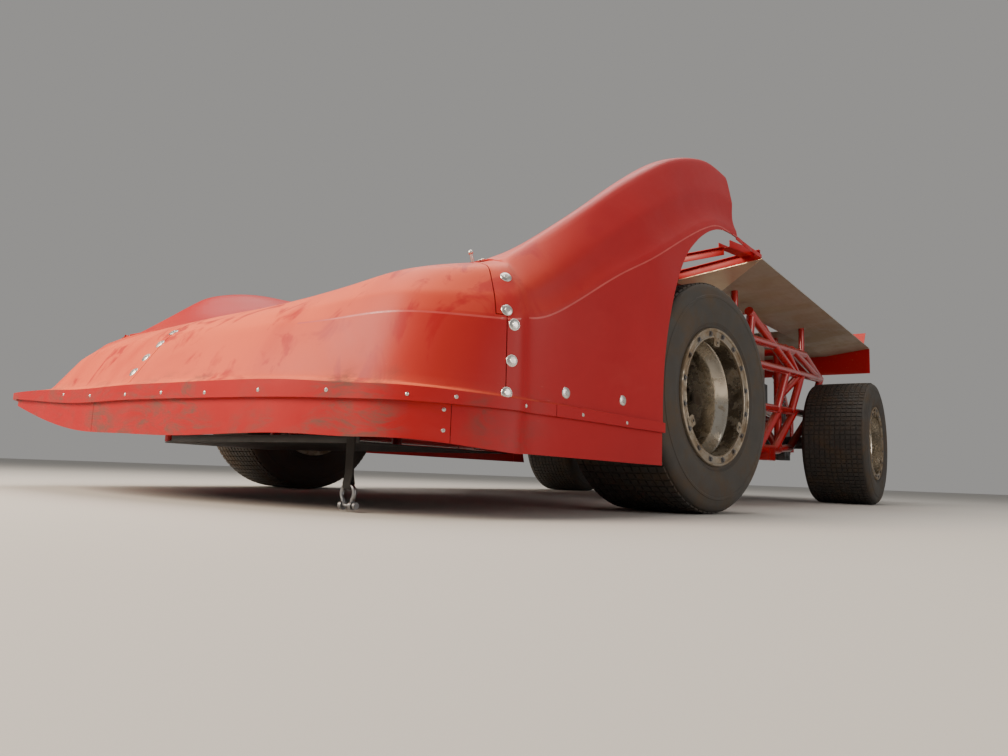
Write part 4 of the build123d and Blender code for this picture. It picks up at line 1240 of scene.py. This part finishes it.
seam_washers = [(506, 277), (507, 310), (514.4, 324.7), (511.8, 360.7), (506.6, 393),
                (566, 393), (622.8, 400.6)]
middle_washers = [(133.5, 372), (146, 357.5), (160, 344), (173.5, 332.5)]
right_drop = Vector((0, 0, -0.06))
bm = bmesh.new()
for u, v in seam_washers:
    spot, normal = sighted("fender_left", u, v)
    dished_washer(bm, spot, normal)
    # above the crease the right fender is lower, and its washers with it
    opposite = across_car(spot)
    if spot.z > crease_height:
        opposite += right_drop
    spot, normal = trees["fender_right"].find_nearest(opposite)[:2]
    dished_washer(bm, spot, normal)
for u, v in middle_washers:
    spot, normal = sighted("shell", u, v)
    dished_washer(bm, spot, normal)
print("washers", 2 * len(seam_washers) + len(middle_washers))
add_piece("panel_washers", bm, zinc, "chassis", sharp=25)

# %% Rivets of the lip strip and clips of the valance
def rivet(bm, spot, normal, lift=0.0, radius=0.0046):
    """A domed rivet head on its flange."""
    move = stood_on(spot + normal * lift, normal)
    disc(bm, move, radius, radius * 0.9, 0.0006, 14)
    disc(bm, raised(move, 0.0005), radius * 0.86, radius * 0.4, 0.0013, 14)


lip_rivets = [(65, 394.6), (91.4, 395.7), (126.4, 394.6), (162.3, 392.7), (205.7, 392.7),
              (259, 390), (327, 390), (407, 394), (456, 397), (525, 406), (582, 415), (626, 423)]
valance_clips = [(444, 409.5), (443.3, 430.5)]
right_rivets = [(950, 262), (800, 262), (620, 250)]
outside, inward = -1300, Vector((0, 1, 0))
bm = bmesh.new()
for u, v in lip_rivets:
    spot, normal = sighted("strip", u, v)
    rivet(bm, spot, normal, strip_wall)
for x, z in right_rivets:
    spot, normal = met("strip", place(x, outside, z), inward)
    rivet(bm, spot, normal, strip_wall)
for u, v in valance_clips:
    spot, normal = sighted("valance_front", u, v)
    rivet(bm, spot, normal)
print("rivets", len(bm.faces), "faces")
add_piece("lip_rivets", bm, zinc, "chassis", sharp=25)

# %% [markdown]
# ## Tow strap and shackle
# A crash truck pulls the car by a webbing strap under the left of the nose. The strap is folded
# over the bow of a forged shackle, so it ends in a loop, and the shackle's pin has an eye to turn
# it by. The shackle just clears the floor.

# %% Strap, folded over the bow
def ribbon(bm, points, half, thick):
    """A flat band along points in the x-z plane, with its width along y."""
    rings = []
    for before, spot, after in zip(points[:1] + points, points, points[1:] + points[-1:]):
        way = (after - before).normalized()
        aside = Vector((way.z, 0, -way.x)) * thick / 2
        rings.append([bm.verts.new(spot + aside * s + Vector((0, half * w, 0)))
                      for s, w in ((1, -1), (1, 1), (-1, 1), (-1, -1))])
    for first, second in zip(rings, rings[1:]):
        for i in range(4):
            bm.faces.new((first[i], first[(i + 1) % 4], second[(i + 1) % 4], second[i]))
    bm.faces.new(rings[0])
    bm.faces.new(reversed(rings[-1]))
    bmesh.ops.recalc_face_normals(bm, faces=bm.faces[:])


strap_x, strap_y, strap_top = 1120, 650, 283
strap_half, strap_thick = 0.0125, 0.0024
# one leg of the strap, as distances ahead of its middle and heights, down to the bow
front_leg = [(1.4, strap_top), (1.4, 150), (1.6, 86), (6.5, 66), (5.5, 55)]
back_leg = [(-x, z) for x, z in reversed(front_leg)]
strap_line = [place(strap_x + x, strap_y, z) for x, z in front_leg + [(0, 51.5)] + back_leg]
bm = bmesh.new()
ribbon(bm, strap_line, strap_half, strap_thick)
print("strap", len(bm.faces), "faces")
add_piece("tow_strap_webbing", bm, webbing, "chassis", ["tow_strap"], sharp=60)

# %% Bow shackle
def bar(bm, points, radius, smooth=True, sides=3):
    """A round bar along points, with closed ends."""
    curve = bpy.data.curves.new("bar", "CURVE")
    curve.dimensions = "3D"
    curve.bevel_depth, curve.bevel_resolution, curve.use_fill_caps = radius, sides, True
    spline = curve.splines.new("BEZIER")
    spline.bezier_points.add(len(points) - 1)
    kind = "AUTO" if smooth else "VECTOR"
    for point, spot in zip(spline.bezier_points, points):
        point.co = spot
        point.handle_left_type = point.handle_right_type = kind
    spline.resolution_u = 6 if smooth else 1
    line = scratch(curve)
    mesh = settled(line)
    bpy.data.objects.remove(line)
    bm.from_mesh(mesh)
    bpy.data.meshes.remove(mesh)


bow_side, bow_top, bow_radius = [(14, 14), (14, 24), (20, 40), (17, 54)], (0, 62), 0.0055
pin_height, pin_radius = 15, 0.0048
bow = [(-y, z) for y, z in bow_side] + [bow_top] + bow_side[::-1]
bm = bmesh.new()
bar(bm, [place(strap_x, strap_y + y, z) for y, z in bow], bow_radius, sides=4)
bar(bm, [place(strap_x, strap_y + y, pin_height) for y in (-23, 29)], pin_radius,
    smooth=False, sides=4)
# the two eyes of the bow and the head of the pin: place across, radius, length
for y, radius, long in ((-19, 10.5, 9), (13, 10.5, 9), (24, 8, 7)):
    move = stood_on(place(strap_x, strap_y + y - long / 2 + 2, pin_height), leftward)
    disc(bm, move, radius / 1000, radius / 1000, long / 1000, 20)
print("shackle", len(bm.faces), "faces")
add_piece("bow_shackle", bm, galvanised, "chassis", ["tow_shackle"], sharp=40)

# %% [markdown]
# ## Between the arch and the deck
# Behind the left arch the deck's front edge is stiffened by red strips of bent sheet. One runs
# along the edge, one runs across the car in front of it, a short box joins the two at the
# outside, and a thin strap ties the end of the arch to the corner of the deck. All are flat bars
# from one point to another, so one bevelled cube, stretched along its line, makes each of them.

# %% Strips, box and strap
def plank(bm, start, end, wide, tall, upward=(0, 0, 1), round_off=0.001):
    """A flat bar from a start to an end, with its height along a direction."""
    way = end - start
    aside = way.cross(Vector(upward)).normalized()
    rise = aside.cross(way).normalized()
    move = Matrix((way.normalized(), aside, rise)).transposed().to_4x4()
    move.translation = (start + end) / 2
    verts = bmesh.ops.create_cube(bm, size=1, matrix=move @ Matrix.Diagonal(
        (way.length, wide, tall, 1)))["verts"]
    edges = list({e for v in verts for e in v.link_edges})
    bmesh.ops.bevel(bm, geom=edges, offset=round_off, segments=2, affect="EDGES", profile=0.5,
                    material=-1)


def add_bars(name, bars):
    """A piece of red flat bars, from rows of start, end, width and height."""
    bm = bmesh.new()
    for start, end, wide, tall in bars:
        plank(bm, place(*start), place(*end), wide, tall)
    print(name, len(bm.faces), "faces")
    add_piece(name, bm, sheet_red, "chassis", sharp=30)


strips = [((-699, 1040, 1028), (-699, 668, 981), 0.003, 0.034),
          ((-690, 1040, 1044), (-690, 668, 997), 0.020, 0.003),
          ((-500, 958, 1001), (-500, 656, 988), 0.003, 0.030),
          ((-492, 958, 1015), (-492, 656, 1002), 0.018, 0.003)]
box_sides = [((-490, 962, 1012), (-700, 985, 1026), 0.044, 0.003),
             ((-490, 984, 1026), (-700, 1007, 1040), 0.003, 0.028),
             ((-490, 940, 1024), (-700, 963, 1036), 0.003, 0.024)]
strap_points = [(-350, 1056, 1000), (-440, 1052, 1003), (-560, 1048, 1009), (-702, 1043, 1020)]
add_bars("deck_edge_strips", strips)
add_bars("deck_corner_box", box_sides)
add_bars("arch_strap", [(start, end, 0.0025, 0.016)
                        for start, end in zip(strap_points, strap_points[1:])])

# %% [markdown]
# ## Undertray
# A black plastic sheet closes the nose from below. Its right front corner is cut away, as nothing
# of it shows there in the photograph, and its front edge is turned up behind the valance. One
# face with the outline of the sheet is extruded by its thickness.

# %% Undertray sheet
tray_low, tray_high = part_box("undertray")
tray_left, tray_corner, tray_front, tray_back = 636, -160, 1080, 476
lip_height, lip_wall = 20, 0.003
outline = [(tray_front, tray_left), (tray_front, tray_corner), (990, -345), (tray_back, -500),
           (tray_back, tray_left)]
bm = bmesh.new()
verts = [bm.verts.new(place(x, y, tray_low.z * 1000)) for x, y in outline]
sheet_face = bm.faces.new(verts)
bmesh.ops.recalc_face_normals(bm, faces=[sheet_face])
if sheet_face.normal.z > 0:
    sheet_face.normal_flip()
grown = bmesh.ops.extrude_face_region(bm, geom=[sheet_face])["geom"]
top_verts = [v for v in grown if isinstance(v, bmesh.types.BMVert)]
bmesh.ops.translate(bm, verts=top_verts, vec=(0, 0, tray_high.z - tray_low.z))
bmesh.ops.recalc_face_normals(bm, faces=bm.faces[:])
lip_ends = [place(tray_front - 1, y, tray_low.z * 1000 + lip_height / 2)
            for y in (tray_left - 2, tray_corner + 2)]
plank(bm, *lip_ends, lip_wall, lip_height / 1000)
print("undertray", len(bm.faces), "faces")
add_piece("undertray_sheet", bm, black_plastic, "chassis", ["undertray"],
          sharp=30)

# %% [markdown]
# ## Coil springs over the shocks
# Each shock is a dull body with a shiny rod, and its spring sits between two seats on the
# outside. The spring is wound steel wire, drawn as a helix about the shock's own line. Places
# along a shock are shares of its length, so the short front and the long rear ones come from one
# recipe.

# %% Springs, bodies and rods
def helix(low, high, radius, turns, steps=12):
    """Points round a line from low to high."""
    lean = (high - low).to_track_quat("Z", "Y").to_matrix()
    count = int(turns * steps)
    points = []
    for i in range(count + 1):
        angle = 2 * math.pi * i / steps
        spot = Vector((radius * math.cos(angle), radius * math.sin(angle),
                       (high - low).length * i / count))
        points.append(low + lean @ spot)
    return points


def between(low, high, shares):
    """The points of a line at shares of its length."""
    return [low + (high - low) * share for share in shares]


shock_ends = [(place(0, side * 560, 213), place(0, side * 344, 640)) for side in (1, -1)]
shock_ends += [(place(-2640, side * 596, 473), place(-2640, side * 545, 860)) for side in (1, -1)]
coil_radius, coils, wire_radius = 0.0245, 8, 0.0050
body_radius, rod_radius, seat_radius, seat_thick = 0.0170, 0.0075, 0.0300, 0.0060
# shares of a shock's length
coil_span, body_span = (0.22, 0.82), (0.03, 0.56)
seat_places, rod_span = (0.20, 0.83), (0.55, 0.985)
springs, bodies, rods = bmesh.new(), bmesh.new(), bmesh.new()
for low, high in shock_ends:
    coil = helix(*between(low, high, coil_span), coil_radius, coils)
    bar(springs, coil, wire_radius, sides=2)
    bar(bodies, between(low, high, body_span), body_radius, smooth=False, sides=6)
    for seat in between(low, high, seat_places):
        disc(bodies, stood_on(seat, high - low), seat_radius, seat_radius, seat_thick, 28)
    bar(rods, between(low, high, rod_span), rod_radius, smooth=False, sides=4)
print("springs", len(springs.faces), "faces")
add_piece("coil_springs", springs, spring_steel, "chassis", ["shocks"], sharp=60)
add_piece("shock_bodies", bodies, plain_alloy, "chassis", ["shocks"], sharp=35)
add_piece("shock_rods", rods, zinc, "chassis", ["shocks"], sharp=35)

# %% [markdown]
# ## Rivets in the sheet
# The sheet panels are riveted to tabs on the frame, in rows a hand's width apart. Every row is
# cast onto its panel from outside, so each rivet sits on the sheet.

# %% Rows of rivets
def row_on(bm, node, start, end, count, way):
    """Rivets in a row, where lines from the row meet a packed panel."""
    tree = tree_of(nodes[node].data)
    for i in range(count):
        cast_from = start + (end - start) * (i / (count - 1))
        spot, normal, index, distance = tree.ray_cast(cast_from, way)
        if spot is not None:
            rivet(bm, spot, facing_back(normal, way))


above, beneath, behind = 1300, 700, -3700
down, up, ahead = Vector((0, 0, -1)), Vector((0, 0, 1)), Vector((1, 0, 0))
door, quarter = "door_panel_right", "quarter_panel_right"
# panel, start and end of the row, number of rivets, the way from the row to the panel
rivet_rows = [(door, (-660, outside, z), (-2060, outside, z), 12, inward) for z in (215, 970)]
rivet_rows += [(door, (x, outside, 340), (x, outside, 850), 5, inward)
               for x in (-655, -1360, -2065)]
rivet_rows += [(quarter, (-2110, outside, 985), (-3470, outside, 1060), 11, inward),
               (quarter, (-3480, outside, 960), (-3480, outside, 560), 4, inward)]
for side, deck in ((1, "deck_left"), (-1, "deck_right")):
    for way, z in ((down, above), (up, beneath)):
        rivet_rows += [(deck, (-712, side * 1020, z), (-712, side * 690, z), 5, way),
                       (deck, (-1190, side * 676, z), (-3440, side * 676, z), 14, way)]
rivet_rows += [("deck_left", (-780, 1028, above), (-3440, 952, above), 18, down)]
rivet_rows += [("roof", (-1420, y, above), (-2560, y, above), 9, down) for y in (560, -560)]
rivet_rows += [("cowl", (-1100, 610, above), (-1100, -610, above), 9, down)]
rivet_rows += [("tail_panel", (behind, 900, z), (behind, -900, z), 12, ahead)
               for z in (1050, 930)]
bm = bmesh.new()
for node, start, end, count, way in rivet_rows:
    row_on(bm, node, place(*start), place(*end), count, way)
print("sheet rivets", len(bm.faces), "faces")
add_piece("sheet_rivets", bm, plain_alloy, "chassis", sharp=25)

# %% [markdown]
# ## Hood pin and fuel cell straps
# The hood lifts off after the pin at its front corner is pulled. The fuel cell hangs in its frame
# under two flat steel straps. A line cast down finds where the pin comes through the hood, and
# the cell's own box gives the length of its straps.

# %% Hood pin
pin_above, pin_long, knob_radius = place(872, 790, 900), 0.024, 0.0068
clip_ends = [Vector((-0.004, 0.014, 0.004)), Vector((-0.004, 0.036, 0.006))]
bm = bmesh.new()
spot, normal = met("hood", pin_above, down)
disc(bm, stood_on(spot, normal), 0.012, 0.011, 0.0016, 20)
bar(bm, [spot, spot + normal * pin_long], 0.0040, smooth=False)
bmesh.ops.create_uvsphere(bm, u_segments=14, v_segments=8, radius=knob_radius,
                          matrix=Matrix.Translation(spot + normal * (pin_long + 0.003)))
plank(bm, spot + clip_ends[0], spot + clip_ends[1], 0.012, 0.0016)
print("hood pin", len(bm.faces), "faces")
add_piece("hood_pin", bm, zinc, "chassis", sharp=40)

# %% Fuel cell straps
cell_low, cell_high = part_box("fuel_cell")
band_wide, band_thick, band_side = 0.030, 0.0024, 0.15
bm = bmesh.new()
for y in (-band_side, band_side):
    top_back, top_front = (Vector((x, y, cell_high.z + band_thick / 2))
                           for x in (cell_low.x, cell_high.x))
    plank(bm, top_back, top_front, band_wide, band_thick)
    for x in (cell_low.x - band_thick / 2, cell_high.x + band_thick / 2):
        plank(bm, Vector((x, y, cell_low.z)), Vector((x, y, cell_high.z + 0.002)), band_wide,
              band_thick, upward=(1, 0, 0))
print("cell straps", len(bm.faces), "faces")
add_piece("cell_straps", bm, dark_steel, "chassis", sharp=30)

# %% [markdown]
# ## Finishes for the packed pieces
# Tubes, sheets and castings have the right shape already. They keep their meshes and only get a
# better finish, chosen by the slot that the record gives them. So a change of the packed model
# needs no change here.

# %% Dress the packed nodes
by_slot = {
    "tube_red": tube_red, "nose_red": shell_red, "sheet_red": sheet_red,
    "sheet_bare": deck_metal, "tyre_rubber": rubber, "wheel_alloy": ring_metal,
    "steel_dark": dark_steel, "cast_grey": cast_iron, "alloy": plain_alloy,
    "black_plastic": black_plastic, "grip_black": grip_foam, "webbing": webbing,
    "galvanised": galvanised, "exhaust_steel": dark_steel,
}
for part in frame["record"]["subparts"]:
    node = nodes[part["node"]]
    node.data.materials.clear()
    node.data.materials.append(by_slot[part["material_slot"]])
print(len(nodes), "packed nodes have a finish")

# %% [markdown]
# ## Floor and light
# The car stands on a pale floor under soft light: a wide panel overhead, a warmer one ahead and
# to the right that lights the top of the nose, and a weak fill on the left for the wheels. Area
# lights are used, because their soft edges don't draw hard shadows on the curved panels.

# %% Floor, lights and sky
def soft_light(name, spot, target, size, power, shade):
    """An area light at a place, turned to a target."""
    data = bpy.data.lights.new(name, "AREA")
    data.size, data.energy, data.color = size, power, shade
    light = bpy.data.objects.new(name, data)
    light.location = spot
    light.rotation_mode = "QUATERNION"
    light.rotation_quaternion = (Vector(target) - Vector(spot)).to_track_quat("-Z", "Y")
    bpy.context.scene.collection.objects.link(light)


ground = bmesh.new()
bmesh.ops.create_grid(ground, x_segments=1, y_segments=1, size=40)
floor_mesh = poured(ground, "floor")
floor = bpy.data.objects.new("floor", floor_mesh)
bpy.context.scene.collection.objects.link(floor)
pale = Finish("pale_floor", roughness=0.8)
pale_shade = pale.blend(pale.noise(0.6, 3), (0.50, 0.485, 0.46), (0.55, 0.535, 0.51))
floor_mesh.materials.append(pale.done(base_color=pale_shade))
# name, place, target, size, power, colour
lights = [("overhead", (0.5, -0.5, 5.0), (0.4, 0, 0.4), 5.0, 300, (1.0, 0.93, 0.84)),
          ("ahead", (5.6, -1.4, 2.9), (1.9, 0, 0.4), 2.6, 425, (1.0, 0.84, 0.66)),
          ("fill", (1.2, 5.4, 1.6), (0.6, 0.6, 0.5), 2.4, 70, (1.0, 0.92, 0.84))]
for light in lights:
    soft_light(*light)
world = bpy.data.worlds.new("studio")
world.use_nodes = True
world.node_tree.nodes["Background"].inputs["Color"].default_value = (0.88, 0.86, 0.83, 1)
world.node_tree.nodes["Background"].inputs["Strength"].default_value = 0.36
bpy.context.scene.world = world
print("lights:", [name for name, *rest in lights])

# %% [markdown]
